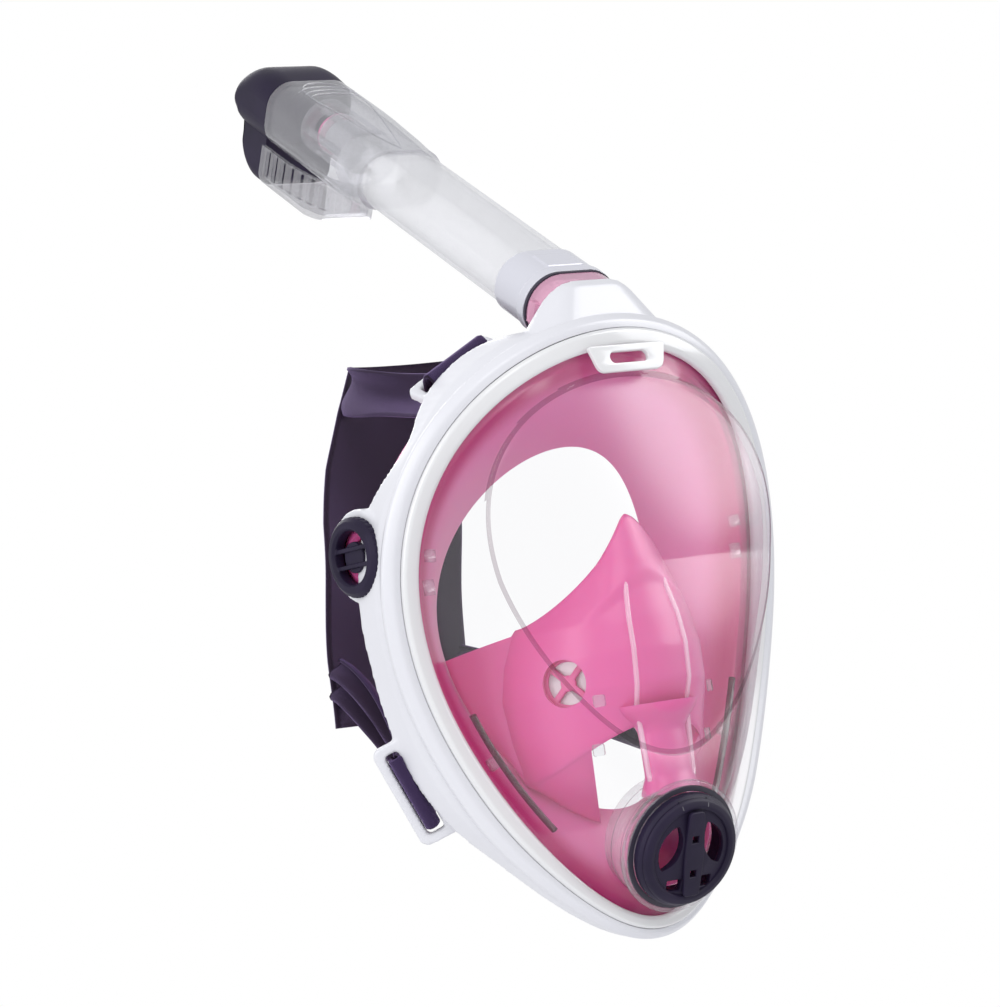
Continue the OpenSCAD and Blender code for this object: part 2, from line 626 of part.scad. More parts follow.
// Each tail starts ahead of its lug, goes back through the slot and on to the panel's edge
function flip(s, v) = [s * v[0], v[1], v[2]];
function bezier(a, b, c, d, f) = mix(mix(mix(a, b, f), mix(b, c, f), f),
    mix(mix(b, c, f), mix(c, d, f), f), f);
tail_steps = 16;
function tail(s, k, end) = let (
    n = rim_out(lug_arc[k]), along = [n[2], 0, -n[0]], face = cross(along, lug_dir(k)),
    t = flip(s, along), f = flip(s, face), g = flip(s, lug_dir(k)), o = flip(s, lug_at(k)),
    back = o - f * 8 + g * 2, ahead = back - f * 18 + g * 10,
    toward = end + [s * 20, -14, 0], down = [0, 0, -1])
    concat([[o + f * 9, t, strap_w], [o, t, strap_w]],
        [for (i = [0 : tail_steps]) let (q = i / tail_steps)
            [bezier(back, ahead, toward, end, q), mix(t, down, smooth(q)), strap_w]]);
tail_top_z = 140 - strap_w / 2 - 1;
tail_low_z = -20 + strap_w / 2 + 1;
module strap_tail(s, k) color([0.2, 0.14, 0.28]) {
    z = k == 0 ? tail_top_z : tail_low_z;
    x = panel_edge(k == 0 ? 140 : -20, s < 0 ? 1 : 2) + s * (k == 0 && s < 0 ? 4 : -3);
    ribbon(tail(s, k, [x, panel_y(x) - strap_t / 2 - 0.4, z]), strap_t);
}

frame();
bezel();
lens();
face_skirt();
oronasal_pocket();
pocket_clips();
check_valve_seat(1);  // check_valve_seat_left
check_valve_seat(-1);  // check_valve_seat_right
check_valve_flap(1);  // check_valve_flap_left
check_valve_flap(-1);  // check_valve_flap_right
chin_valve_housing();
chin_valve_seat();
chin_valve_flap();
chin_valve_cover();
chin_valve_seal();
side_valve_seat(1);  // side_valve_seat_left
side_valve_seat(-1);  // side_valve_seat_right
side_valve_flap(1);  // side_valve_flap_left
side_valve_flap(-1);  // side_valve_flap_right
side_valve_cover(1);  // side_valve_cover_left
side_valve_cover(-1);  // side_valve_cover_right
snorkel_connector();
connector_seal();
release_latch(1);  // release_latch_left
release_latch(-1);  // release_latch_right
tube_collar();
snorkel_tube();
tube_divider();
dry_top_housing();
dry_top_cap();
intake_grille();
float();
float_seal();
float_seat();
strap_back_panel();
strap_tail(1, 0);  // strap_tail_top_left
strap_tail(-1, 0);  // strap_tail_top_right
strap_tail(1, 1);  // strap_tail_bottom_left
strap_tail(-1, 1);  // strap_tail_bottom_right
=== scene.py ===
import math

import bmesh
import bpy
from mathutils import Matrix, Vector


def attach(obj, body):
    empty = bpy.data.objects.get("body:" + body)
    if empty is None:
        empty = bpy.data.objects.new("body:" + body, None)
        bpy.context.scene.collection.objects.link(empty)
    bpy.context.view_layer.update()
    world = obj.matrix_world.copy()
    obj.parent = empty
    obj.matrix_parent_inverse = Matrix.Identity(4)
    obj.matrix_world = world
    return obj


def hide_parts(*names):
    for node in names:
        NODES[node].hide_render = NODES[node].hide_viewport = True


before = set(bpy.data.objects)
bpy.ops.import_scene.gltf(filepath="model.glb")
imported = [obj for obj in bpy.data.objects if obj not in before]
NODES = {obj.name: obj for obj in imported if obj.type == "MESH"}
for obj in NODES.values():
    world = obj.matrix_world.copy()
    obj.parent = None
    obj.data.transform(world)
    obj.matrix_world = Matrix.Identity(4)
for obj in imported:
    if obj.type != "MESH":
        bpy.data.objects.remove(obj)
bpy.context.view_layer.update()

MM = 0.001
V = Vector

# --- Sizes shared with the CAD model, in mm ---------------------------------------------
RIM_W, RIM_H, RIM_EGG = 83.6, 119.8, 0.31
RIM_SWEEP, RIM_CHIN, RIM_LEAN = 26, 17.5, 0.22
FACE_W, FACE_H, FACE_MID, FACE_REACH = 68.6, 79.3, 27.8, 20.6
FACE_BULGE, FACE_EGG, FACE_SWEEP, FACE_LEAN, CHIN_BULGE = 9, 0.28, 4, 0.06, 14
LENS_WALL = 2.2
FRAME_DEPTH, FRAME_THIN = 28, 16
DIP, DIP_AT, DIP_HALF = 10, 46, 13
OPEN_W, OPEN_H, OPEN_MID, OPEN_EGG = 56, 78, 6, 0.1
CHIN_AT, CHIN_TILT = V((0, -16.5, -91)), 23
DIAL_AT, DIAL_TURN = V((97, 44.5, 48.5)), 6
CHECK_AT, CHECK_TURN = V((28.6, 4.5, -16.8)), 52
BARREL_R = 26.5
TUBE_LEAN, SOCKET_AT = 56.5, V((0, -4.3, 136.6))
TUBE_W, TUBE_H, TUBE_WALL = 41.5, 26, 1.6
TUBE_START, TUBE_END = 13.5, 180
SLEEVE_START, CHAMBER_START, CHAMBER_END = 157, 165, 245
TOP_W, TOP_HIGH, TOP_LOW = 46, 16.2, -16.4
STRAP_W, STRAP_T = 34, 2.4
POCKET = [(50, 13, -12, 8), (30, 24, -18.5, 16), (6, 40, -23.5, 30), (-7, 44, -25, 34),
          (-21, 46, -23.5, 36), (-40, 44, -15.5, 35), (-60, 40, -12, 32)]
PANEL = [(-20, -82, 0), (10, -79, 4), (40, -74, 8), (70, -68, 12), (95, -60, 14),
         (120, -48, 15), (140, -36, 16)]


def sin(a): return math.sin(math.radians(a))
def cos(a): return math.cos(math.radians(a))
def mix(a, b, f): return a + (b - a) * f
def egg_x(a, w, e): return w * sin(a) * (1 + e * cos(a))


def smooth(f):
    f = min(max(f, 0), 1)
    return f * f * (3 - 2 * f)


def rim(a):
    u, c = egg_x(a, 1, RIM_EGG), min(cos(a), 0)
    y = RIM_SWEEP * u * u - RIM_CHIN * c * c - RIM_LEAN * RIM_H * cos(a)
    return V((egg_x(a, RIM_W, RIM_EGG), y, RIM_H * cos(a)))


def rim_out(a):
    return V((RIM_H * sin(a), 0, RIM_W * (cos(a) + RIM_EGG * cos(2 * a)))).normalized()


def at(a, out, back):
    slim = 1 - 0.4 * smooth(-2 * cos(a) - 1) if out > 0 else 1
    return rim(a) + rim_out(a) * out * slim + V((0, back, 0))


def face_ring(a, s, t=0.0):
    u, c = egg_x(a, 1, FACE_EGG), cos(a)
    return V((egg_x(a, FACE_W - t, FACE_EGG) * s,
              -FACE_REACH + t + FACE_SWEEP * u * u * s * s - FACE_LEAN * FACE_H * abs(c) * s
              - FACE_BULGE * (1 - s * s), FACE_MID + (FACE_H - t) * c * s))


def wall_ring(a, f, t=0.0):
    return (at(a, -3 - t, t).lerp(face_ring(a, 1, t), f)
            - V((0, CHIN_BULGE * sin(180 * f) * smooth(-cos(a)), 0)))


def opening(a, grow, back):
    u = egg_x(a, 1, OPEN_EGG)
    return V((egg_x(a, OPEN_W + grow, OPEN_EGG), 25 + back + 33 * u * u,
              OPEN_MID + (OPEN_H + grow) * cos(a)))


def frame_reach(a): return FRAME_DEPTH - FRAME_THIN * ((1 - cos(a)) / 2) ** 3


def frame_back(a):
    near = abs(min(a % 360, 360 - a % 360) - DIP_AT)
    return frame_reach(a) - DIP * smooth(1 - near / DIP_HALF)


def flip(s, q): return V((s * q.x, q.y, q.z))


def lookup(z, k):
    rows = sorted((r[0], r[k]) for r in POCKET)
    z = min(max(z, rows[0][0]), rows[-1][0])
    for (z0, v0), (z1, v1) in zip(rows, rows[1:]):
        if z0 <= z <= z1:
            return mix(v0, v1, (z - z0) / (z1 - z0))


# --- Mesh helpers -------------------------------------------------------------------------

def outward(me):
    """Turns a closed mesh right side out."""
    bm = bmesh.new()
    bm.from_mesh(me)
    if all(len(e.link_faces) == 2 for e in bm.edges) and bm.calc_volume(signed=True) < 0:
        bmesh.ops.reverse_faces(bm, faces=bm.faces)
        bm.to_mesh(me)
    bm.free()


def make(name, verts, faces, body, mat, sharp=None):
    me = bpy.data.meshes.new(name)
    me.from_pydata([tuple(c * MM for c in v) for v in verts], [], faces)
    me.validate()
    outward(me)
    ob = bpy.data.objects.new(name, me)
    bpy.context.scene.collection.objects.link(ob)
    return dress(ob, body, mat, sharp)


def dress(ob, body, mat, sharp=None):
    me = ob.data
    me.materials.clear()
    me.materials.append(mat)
    me.polygons.foreach_set("use_smooth", [True] * len(me.polygons))
    if sharp:
        sharpen(me, sharp)
    if body:
        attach(ob, body)
    return ob


def sharpen(me, degrees):
    bm = bmesh.new()
    bm.from_mesh(me)
    limit = math.radians(degrees)
    for e in bm.edges:
        e.smooth = not (len(e.link_faces) == 2 and e.calc_face_angle(0) > limit)
    bm.to_mesh(me)
    bm.free()


def apply(ob, kind, **settings):
    m = ob.modifiers.new(kind, kind)
    for k, v in settings.items():
        setattr(m, k, v)
    deps = bpy.context.evaluated_depsgraph_get()
    new = bpy.data.meshes.new_from_object(ob.evaluated_get(deps))
    ob.modifiers.clear()
    old = ob.data
    ob.data = new
    bpy.data.meshes.remove(old)
    return ob


def grid(rows, closed_u=True, closed_v=True):
    n, m = len(rows), len(rows[0])
    verts = [p for r in rows for p in r]
    faces = []
    for i in range(n if closed_u else n - 1):
        for j in range(m if closed_v else m - 1):
            k, l = (i + 1) % n, (j + 1) % m
            faces.append((i * m + j, k * m + j, k * m + l, i * m + l))
    if not closed_u and closed_v:
        faces.append(tuple(range(m - 1, -1, -1)))
        faces.append(tuple((n - 1) * m + j for j in range(m)))
    return verts, faces


def fillet(points, r, steps=4, closed=True):
    """A 2-D or 3-D outline with each corner rounded; r is one radius or one per corner."""
    out, n = [], len(points)
    for i, p in enumerate(points):
        rad = r[i] if hasattr(r, "__len__") else r
        if rad <= 0 or (not closed and i in (0, n - 1)):
            out.append(V(p))
            continue
        a, b, c = V(points[i - 1]), V(p), V(points[(i + 1) % n])
        u, w = (a - b), (c - b)
        cut = min(rad, u.length * 0.48, w.length * 0.48)
        s, e = b + u.normalized() * cut, b + w.normalized() * cut
        for k in range(steps + 1):
            f = k / steps
            out.append(s * (1 - f) ** 2 + b * 2 * f * (1 - f) + e * f * f)
    return out


def sweep(name, profile, body, mat, n=288, sharp=None, r=0.5):
    """A ring around the rim: profile(a) is its closed outline as (out, back) pairs."""
    rows = []
    for i in range(n):
        a = 360 * i / n
        rows.append([at(a, p[0], p[1]) for p in fillet([V((q[0], q[1], 0)) for q in profile(a)], r, 3)])
    v, f = grid(rows)
    return make(name, v, f, body, mat, sharp)


def arc_sweep(name, path, outline, body, mat, r=0.3, steps=2):
    """A bar along path: a list of (centre, across, up) with a closed outline in across, up."""
    shape = fillet([V((q[0], q[1], 0)) for q in outline], r, steps)
    rows = [[c + u * q.x + w * q.y for q in shape] for c, u, w in path]
    v, f = grid(rows, closed_u=False)
    return make(name, v, f, body, mat)


def frame_of(origin, z, up):
    z = z.normalized()
    x = up.cross(z).normalized()
    y = z.cross(x)
    return Matrix(((x.x, y.x, z.x, origin.x), (x.y, y.y, z.y, origin.y),
                   (x.z, y.z, z.z, origin.z), (0, 0, 0, 1)))


CHIN_M = Matrix.Translation(CHIN_AT) @ Matrix.Rotation(math.radians(90 + CHIN_TILT), 4, "X")
TUBE_M = Matrix.Translation(SOCKET_AT) @ Matrix.Rotation(math.radians(-TUBE_LEAN), 4, "X")


def dial_m(s):
    return (Matrix.Translation(V((s * DIAL_AT.x, DIAL_AT.y, DIAL_AT.z)))
            @ Matrix.Rotation(math.radians(-s * DIAL_TURN), 4, "Z")
            @ Matrix.Rotation(math.radians(s * 90), 4, "Y"))


def check_m(s):
    return (Matrix.Translation(V((s * CHECK_AT.x, CHECK_AT.y, CHECK_AT.z)))
            @ Matrix.Rotation(math.radians(-s * (90 - CHECK_TURN)), 4, "Z")
            @ Matrix.Rotation(math.radians(s * 90), 4, "Y"))


def lathe(name, profile, place, body, mat, n=96, r=0.4, sharp=None):
    shape = fillet([V((p[0], p[1], 0)) for p in profile], r, 3)
    rows = [[place @ V((p.x * cos(360 * i / n), p.x * sin(360 * i / n), p.y)) for p in shape]
            for i in range(n)]
    v, f = grid(rows)
    return make(name, v, f, body, mat, sharp)


def copy_node(name, node, body, mat, voxel, passes=4, extra=()):
    """A CAD node's mesh, remade finely enough for soft moulded edges."""
    ob = bpy.data.objects.new(name, NODES[node].data.copy())
    bpy.context.scene.collection.objects.link(ob)
    if extra:
        bm = bmesh.new()
        bm.from_mesh(ob.data)
        for e in extra:
            bm.from_mesh(e)
        bm.to_mesh(ob.data)
        bm.free()
    apply(ob, "REMESH", mode="VOXEL", voxel_size=voxel * MM, adaptivity=0)
    if passes:
        apply(ob, "SMOOTH", factor=0.5, iterations=passes)
    dress(ob, body, mat)
    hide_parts(node)
    return ob


# --- Materials ----------------------------------------------------------------------------

def material(name, colour, rough, **sockets):
    m = bpy.data.materials.new(name)
    m.use_nodes = True
    b = m.node_tree.nodes["Principled BSDF"]
    b.inputs["Base Color"].default_value = (*colour, 1)
    b.inputs["Roughness"].default_value = rough
    for k, v in sockets.items():
        b.inputs[k.replace("_", " ")].default_value = v
    return m


def node(m, kind, **kw):
    n = m.node_tree.nodes.new(kind)
    for k, v in kw.items():
        setattr(n, k, v)
    return n


def bump(m, scale, strength, distance, detail=3.0, kind="ShaderNodeTexNoise", stretch=(1, 1, 1)):
    t = m.node_tree
    b = t.nodes["Principled BSDF"]
    co, mp = node(m, "ShaderNodeTexCoord"), node(m, "ShaderNodeMapping")
    mp.inputs["Scale"].default_value = stretch
    tex = node(m, kind)
    tex.inputs["Scale"].default_value = scale
    if "Detail" in tex.inputs:
        tex.inputs["Detail"].default_value = detail
    bp = node(m, "ShaderNodeBump")
    bp.inputs["Strength"].default_value = strength
    bp.inputs["Distance"].default_value = distance
    t.links.new(co.outputs["Object"], mp.inputs[0])
    t.links.new(mp.outputs[0], tex.inputs["Vector"])
    t.links.new(tex.outputs[0], bp.inputs["Height"])
    t.links.new(bp.outputs[0], b.inputs["Normal"])
    return tex


def mottle(m, scale, dark, light, detail=4.0):
    """Slow colour variation between two shades."""
    t = m.node_tree
    b = t.nodes["Principled BSDF"]
    co = node(m, "ShaderNodeTexCoord")
    tex = node(m, "ShaderNodeTexNoise")
    tex.inputs["Scale"].default_value = scale
    tex.inputs["Detail"].default_value = detail
    ramp = node(m, "ShaderNodeValToRGB")
    ramp.color_ramp.elements[0].position, ramp.color_ramp.elements[1].position = 0.35, 0.65
    ramp.color_ramp.elements[0].color = (*dark, 1)
    ramp.color_ramp.elements[1].color = (*light, 1)
    t.links.new(co.outputs["Object"], tex.inputs["Vector"])
    t.links.new(tex.outputs[0], ramp.inputs[0])
    t.links.new(ramp.outputs[0], b.inputs["Base Color"])


def clear(name, tint, edge, rough, body=0.0, body_colour=(0.9, 0.9, 0.92), shine=0.9):
    """Thin clear plastic: see-through, with gloss by angle, darker where seen edge on."""
    m = bpy.data.materials.new(name)
    m.use_nodes = True
    t = m.node_tree
    for n in list(t.nodes):
        if n.type == "BSDF_PRINCIPLED":
            t.nodes.remove(n)
    out = t.nodes["Material Output"]
    see, gloss = node(m, "ShaderNodeBsdfTransparent"), node(m, "ShaderNodeBsdfGlossy")
    gloss.inputs["Color"].default_value = (1, 1, 1, 1)
    gloss.inputs["Roughness"].default_value = rough
    look = node(m, "ShaderNodeLayerWeight")
    look.inputs["Blend"].default_value = 0.5
    ramp = node(m, "ShaderNodeValToRGB")
    ramp.color_ramp.elements[0].color = (*tint, 1)
    ramp.color_ramp.elements[1].color = (*edge, 1)
    ramp.color_ramp.elements[0].position = 0.55
    power = node(m, "ShaderNodeMath", operation="POWER")
    power.inputs[1].default_value = 4.5
    reflect = node(m, "ShaderNodeMath", operation="MULTIPLY_ADD")
    reflect.inputs[1].default_value = shine
    reflect.inputs[2].default_value = 0.04
    t.links.new(look.outputs["Facing"], ramp.inputs[0])
    t.links.new(look.outputs["Facing"], power.inputs[0])
    t.links.new(power.outputs[0], reflect.inputs[0])
    t.links.new(ramp.outputs[0], see.inputs["Color"])
    base = see
    if body:
        haze, dull = node(m, "ShaderNodeMixShader"), node(m, "ShaderNodeBsdfDiffuse")
        dull.inputs["Color"].default_value = (*body_colour, 1)
        haze.inputs[0].default_value = body
        t.links.new(see.outputs[0], haze.inputs[1])
        t.links.new(dull.outputs[0], haze.inputs[2])
        base = haze
    top = node(m, "ShaderNodeMixShader")
    t.links.new(reflect.outputs[0], top.inputs[0])
    t.links.new(base.outputs[0], top.inputs[1])
    t.links.new(gloss.outputs[0], top.inputs[2])
    # Light falls straight through, so that what lies behind is lit as in a thin shell
    path, either = node(m, "ShaderNodeLightPath"), node(m, "ShaderNodeMath", operation="MAXIMUM")
    through, last = node(m, "ShaderNodeBsdfTransparent"), node(m, "ShaderNodeMixShader")
    through.inputs["Color"].default_value = (0.97, 0.97, 0.97, 1)
    t.links.new(path.outputs["Is Shadow Ray"], either.inputs[0])
    t.links.new(path.outputs["Is Diffuse Ray"], either.inputs[1])
    t.links.new(either.outputs[0], last.inputs[0])
    t.links.new(top.outputs[0], last.inputs[1])
    t.links.new(through.outputs[0], last.inputs[2])
    t.links.new(last.outputs[0], out.inputs["Surface"])
    return m


def silicone(name, pale, deep, glow):
    """Soft pink rubber: deeper pink by the piece's own 'deep' attribute, which on the skirt is painted shade
    near its rim; light through it.
    """
    m = material(name, pale, 0.38, Subsurface_Weight=0.35, Subsurface_Scale=0.004,
                 Coat_Weight=0.25, Coat_Roughness=0.25)
    t = m.node_tree
    b = t.nodes["Principled BSDF"]
    b.inputs["Subsurface Radius"].default_value = (1.0, 0.35, 0.5)
    att = node(m, "ShaderNodeAttribute", attribute_name="deep")
    co, tex = node(m, "ShaderNodeTexCoord"), node(m, "ShaderNodeTexNoise")
    tex.inputs["Scale"].default_value = 18
    add = node(m, "ShaderNodeMath", operation="MULTIPLY_ADD")
    add.inputs[1].default_value = 0.12
    ramp = node(m, "ShaderNodeValToRGB")
    ramp.color_ramp.elements[0].color = (*pale, 1)
    ramp.color_ramp.elements[1].color = (*deep, 1)
    t.links.new(co.outputs["Object"], tex.inputs["Vector"])
    t.links.new(tex.outputs[0], add.inputs[0])
    t.links.new(att.outputs["Fac"], add.inputs[2])
    t.links.new(add.outputs[0], ramp.inputs[0])
    t.links.new(ramp.outputs[0], b.inputs["Base Color"])
    thin, both = node(m, "ShaderNodeBsdfTranslucent"), node(m, "ShaderNodeMixShader")
    both.inputs[0].default_value = glow
    t.links.new(ramp.outputs[0], thin.inputs["Color"])
    t.links.new(b.outputs[0], both.inputs[1])
    t.links.new(thin.outputs[0], both.inputs[2])
    t.links.new(both.outputs[0], t.nodes["Material Output"].inputs["Surface"])
    return m


WHITE = material("shell_white", (0.69, 0.69, 0.73), 0.3, Coat_Weight=0.15, Coat_Roughness=0.2)
bump(WHITE, 900, 0.03, 0.0002)
BEZEL = material("bezel_white", (0.72, 0.72, 0.73), 0.22, Coat_Weight=0.4, Coat_Roughness=0.08)
bump(BEZEL, 500, 0.02, 0.0002)
DARK = material("cap_aubergine", (0.012, 0.008, 0.026), 0.5, Specular_IOR_Level=0.22)
mottle(DARK, 60, (0.011, 0.007, 0.024), (0.016, 0.010, 0.033))
bump(DARK, 1800, 0.12, 0.0001)
COLLAR = material("collar_grey", (0.62, 0.62, 0.68), 0.25, Coat_Weight=0.3, Metallic=0.15)
bump(COLLAR, 700, 0.02, 0.0002)
SEAL = material("seal_dark", (0.03, 0.025, 0.045), 0.5)
bump(SEAL, 900, 0.05, 0.0001)
LENS = clear("lens_clear", (0.985, 0.985, 0.99), (0.74, 0.74, 0.77), 0.24, shine=0.45)
# Darker clear tint for the lens ridge: painted shade for the dark line that refraction draws along it
LENS_RIDGE_SHADE = clear("lens_ridge_shade", (0.66, 0.62, 0.65), (0.36, 0.33, 0.36), 0.05, shine=0.8)
# Dark clear tint for the ribs inside the lens wall: painted shade of the shadowed gap by the rim
RIB_SHADE = clear("lens_rib_shade", (0.42, 0.26, 0.34), (0.3, 0.2, 0.26), 0.05, shine=0.8)
CLEAR = clear("housing_clear", (0.90, 0.90, 0.915), (0.55, 0.55, 0.58), 0.14, 0.10,
              (0.78, 0.78, 0.81))
RIBS = clear("grille_clear", (0.93, 0.93, 0.94), (0.34, 0.33, 0.37), 0.05, 0.09,
             (0.95, 0.95, 0.97))
FLAP = clear("flap_clear", (0.92, 0.86, 0.89), (0.8, 0.7, 0.75), 0.2, 0.6, (0.86, 0.80, 0.83))
TUBE = clear("tube_milky", (0.975, 0.975, 0.98), (0.72, 0.72, 0.75), 0.12, 0.22,
             (0.93, 0.93, 0.95))
PINKISH = clear("connector_pink", (0.99, 0.78, 0.87), (0.85, 0.45, 0.62), 0.06, 0.4,
                (0.92, 0.5, 0.68))
SKIRT = silicone("silicone_pink", (0.93, 0.235, 0.55), (0.66, 0.045, 0.24), 0.22)
POCKET_PINK = silicone("pocket_pink", (0.86, 0.135, 0.43), (0.66, 0.05, 0.24), 0.18)
VALVE = silicone("valve_pink", (0.84, 0.12, 0.39), (0.6, 0.04, 0.2), 0.15)
# Whitish pink hazed clear: painted highlight for the beads down the pocket's sides
RIDGE_HIGHLIGHT = clear("pocket_ridge_highlight", (0.95, 0.80, 0.88), (0.8, 0.55, 0.66), 0.12, 0.55, (0.93, 0.62, 0.76))
FLOAT = clear("float_milky", (0.94, 0.94, 0.95), (0.6, 0.6, 0.63), 0.25, 0.3, (0.72, 0.72, 0.75))


def webbing(name, colour, light):
    """Woven elastic: fine ribs across, small stitches of yarn, soft sheen."""
    m = material(name, colour, 0.75, Sheen_Weight=0.6, Sheen_Roughness=0.4,
                 Specular_IOR_Level=0.2)
    t = m.node_tree
    b = t.nodes["Principled BSDF"]
    b.inputs["Sheen Tint"].default_value = (0.5, 0.35, 0.75, 1)
    uv = node(m, "ShaderNodeUVMap", uv_map="weave")
    rib = node(m, "ShaderNodeTexWave", wave_type="BANDS", bands_direction="Y")
    rib.inputs["Scale"].default_value = 320
    rib.inputs["Distortion"].default_value = 0.6
    yarn = node(m, "ShaderNodeTexWave", wave_type="BANDS", bands_direction="X")
    yarn.inputs["Scale"].default_value = 420
    yarn.inputs["Distortion"].default_value = 1.0
    both = node(m, "ShaderNodeMath", operation="MULTIPLY")
    ramp = node(m, "ShaderNodeValToRGB")
    ramp.color_ramp.elements[0].color = (*colour, 1)
    ramp.color_ramp.elements[1].color = (*light, 1)
    bp = node(m, "ShaderNodeBump")
    bp.inputs["Strength"].default_value = 0.5
    bp.inputs["Distance"].default_value = 0.0003
    for tex in (rib, yarn):
        t.links.new(uv.outputs[0], tex.inputs["Vector"])
    t.links.new(rib.outputs["Fac"], both.inputs[0])
    t.links.new(yarn.outputs["Fac"], both.inputs[1])
    t.links.new(both.outputs[0], ramp.inputs[0])
    t.links.new(ramp.outputs[0], b.inputs["Base Color"])
    t.links.new(both.outputs[0], bp.inputs["Height"])
    t.links.new(bp.outputs[0], b.inputs["Normal"])
    return m


STRAP = webbing("strap_aubergine", (0.012, 0.005, 0.016), (0.03, 0.014, 0.04))
STRAP_IN = webbing("strap_inner", (0.03, 0.016, 0.055), (0.055, 0.032, 0.1))


def paint(ob, fn):
    """Writes the 'deep' attribute from each vertex's place, in mm."""
    me = ob.data
    att = me.attributes.new("deep", "FLOAT", "POINT")
    att.data.foreach_set("value", [fn(v.co / MM) for v in me.vertices])


# --- Camera, lights, floor ----------------------------------------------------------------
CAM_AZ, CAM_EL, CAM_ROLL = -32.16, -4.0, 8.66
CAM_DIST, CAM_X, CAM_Y, CAM_SCALE = 1530, 55.06, 56.92, 0.97
fwd = V((-sin(CAM_AZ) * cos(CAM_EL), cos(CAM_AZ) * cos(CAM_EL), -sin(CAM_EL)))
side = V((cos(CAM_AZ), sin(CAM_AZ), 0))
top = side.cross(fwd)
right = side * cos(CAM_ROLL) - top * sin(CAM_ROLL)
up = side * sin(CAM_ROLL) + top * cos(CAM_ROLL)
eye = (right * -CAM_X + up * CAM_Y - fwd * CAM_DIST) * CAM_SCALE * MM
cam = bpy.data.cameras.new("camera")
cam.lens, cam.sensor_width, cam.sensor_fit = 126.98, 36, "HORIZONTAL"
camera = bpy.data.objects.new("camera", cam)
camera.matrix_world = Matrix(((right.x, up.x, -fwd.x, eye.x), (right.y, up.y, -fwd.y, eye.y),
                              (right.z, up.z, -fwd.z, eye.z), (0, 0, 0, 1)))
bpy.context.scene.collection.objects.link(camera)
bpy.context.scene.camera = camera
bpy.context.scene.view_settings.view_transform = "Standard"

world = bpy.data.worlds.new("studio")
bpy.context.scene.world = world
world.use_nodes = True
wt = world.node_tree
sky = wt.nodes["Background"]
sky.inputs["Color"].default_value = (0.97, 0.98, 1.0, 1)
sky.inputs["Strength"].default_value = 0.84
paper = wt.nodes.new("ShaderNodeBackground")
paper.inputs["Color"].default_value = (1, 1, 1, 1)
seen, choose = wt.nodes.new("ShaderNodeLightPath"), wt.nodes.new("ShaderNodeMixShader")
wt.links.new(seen.outputs["Is Camera Ray"], choose.inputs[0])
wt.links.new(sky.outputs[0], choose.inputs[1])
wt.links.new(paper.outputs[0], choose.inputs[2])
wt.links.new(choose.outputs[0], wt.nodes["World Output"].inputs["Surface"])


def lamp(name, place, target, size, watts, glossy_only=False):
    d = bpy.data.lights.new(name, "AREA")
    d.shape, d.size, d.size_y, d.energy = "ELLIPSE", size[0], size[1], watts
    ob = bpy.data.objects.new(name, d)
    ob.matrix_world = frame_of(V(place), V(place) - V(target), V((0, 0, 1)))
    ob.visible_diffuse = not glossy_only
    bpy.context.scene.collection.objects.link(ob)


lamp("key", (-0.7, -1.3, 1.0), (0, 0, 0.05), (0.9, 0.9), 6)
lamp("left", (-1.5, -0.3, 0.4), (0, 0, 0.05), (0.6, 1.2), 7)
lamp("back", (0.3, 1.4, 0.9), (0, 0, 0.05), (1.0, 0.8), 6)
# Two wide soft boxes seen only as the sheen on the lens
lamp("sheen_right", (1.15, -0.72, 0.5), (0, 0, 0.05), (1.3, 1.1), 15, glossy_only=True)
lamp("sheen_top", (0.75, -0.85, 1.0), (0, 0, 0.1), (0.9, 0.7), 7, glossy_only=True)

FLOOR_Z, FLOOR_R = -0.6, 2.0
floor_mat = material("floor_pale", (0.85, 0.85, 0.86), 0.6)
bump(floor_mat, 40, 0.03, 0.001)
bm = bmesh.new()
bmesh.ops.create_circle(bm, cap_ends=True, radius=FLOOR_R, segments=96)
fm = bpy.data.meshes.new("floor")
bm.to_mesh(fm)
bm.free()
floor = bpy.data.objects.new("floor", fm)
floor.location = (0, 0, FLOOR_Z)
fm.materials.append(floor_mat)
bpy.context.scene.collection.objects.link(floor)

# --- Mask shell ---------------------------------------------------------------------------


def flare(a):
    """How far the frame's side wall leans outward by its back edge."""
    h = min(a % 360, 360 - a % 360)
    return 1.5 + 7 * smooth(1 - abs(h - 24) / 24) + 5 * smooth(1 - abs(h - 112) / 26)


def dips(a): return frame_back(a) < 20 and cos(a) > 0


wedge_rows = []
for i in range(180):
    a = 2 * i
    d = frame_back(a) - 0.5
    f = flare(a)
    wedge_rows.append([at(a, 8, 2), at(a, 10.6, 2.2), at(a, 11.2 + f * 0.5, 4 + d * 0.3),
                       at(a, 10.2 + f, d), at(a, 8, d)])
wv, wf = grid(wedge_rows)
wedge = bpy.data.meshes.new("wedge")
wedge.from_pydata([tuple(c * MM for c in v) for v in wv], [], [f[::-1] for f in wf])
bmw = bmesh.new()
bmw.from_mesh(wedge)
bmesh.ops.recalc_face_normals(bmw, faces=bmw.faces)
bmw.to_mesh(wedge)
bmw.free()
shell = copy_node("frame_shell", "frame", "mask", WHITE, 0.9, 5, [wedge])

sweep("frame_front_band", lambda a: [(6.75, -1.3), (10.2, -1.1), (13.4, 2.4), (13.4, 3.6),
                                      (12.6, 6), (6.75, 6)], "mask", WHITE,
      r=[0.3, 1.2, 0.5, 0.3, 0.2, 0.2])
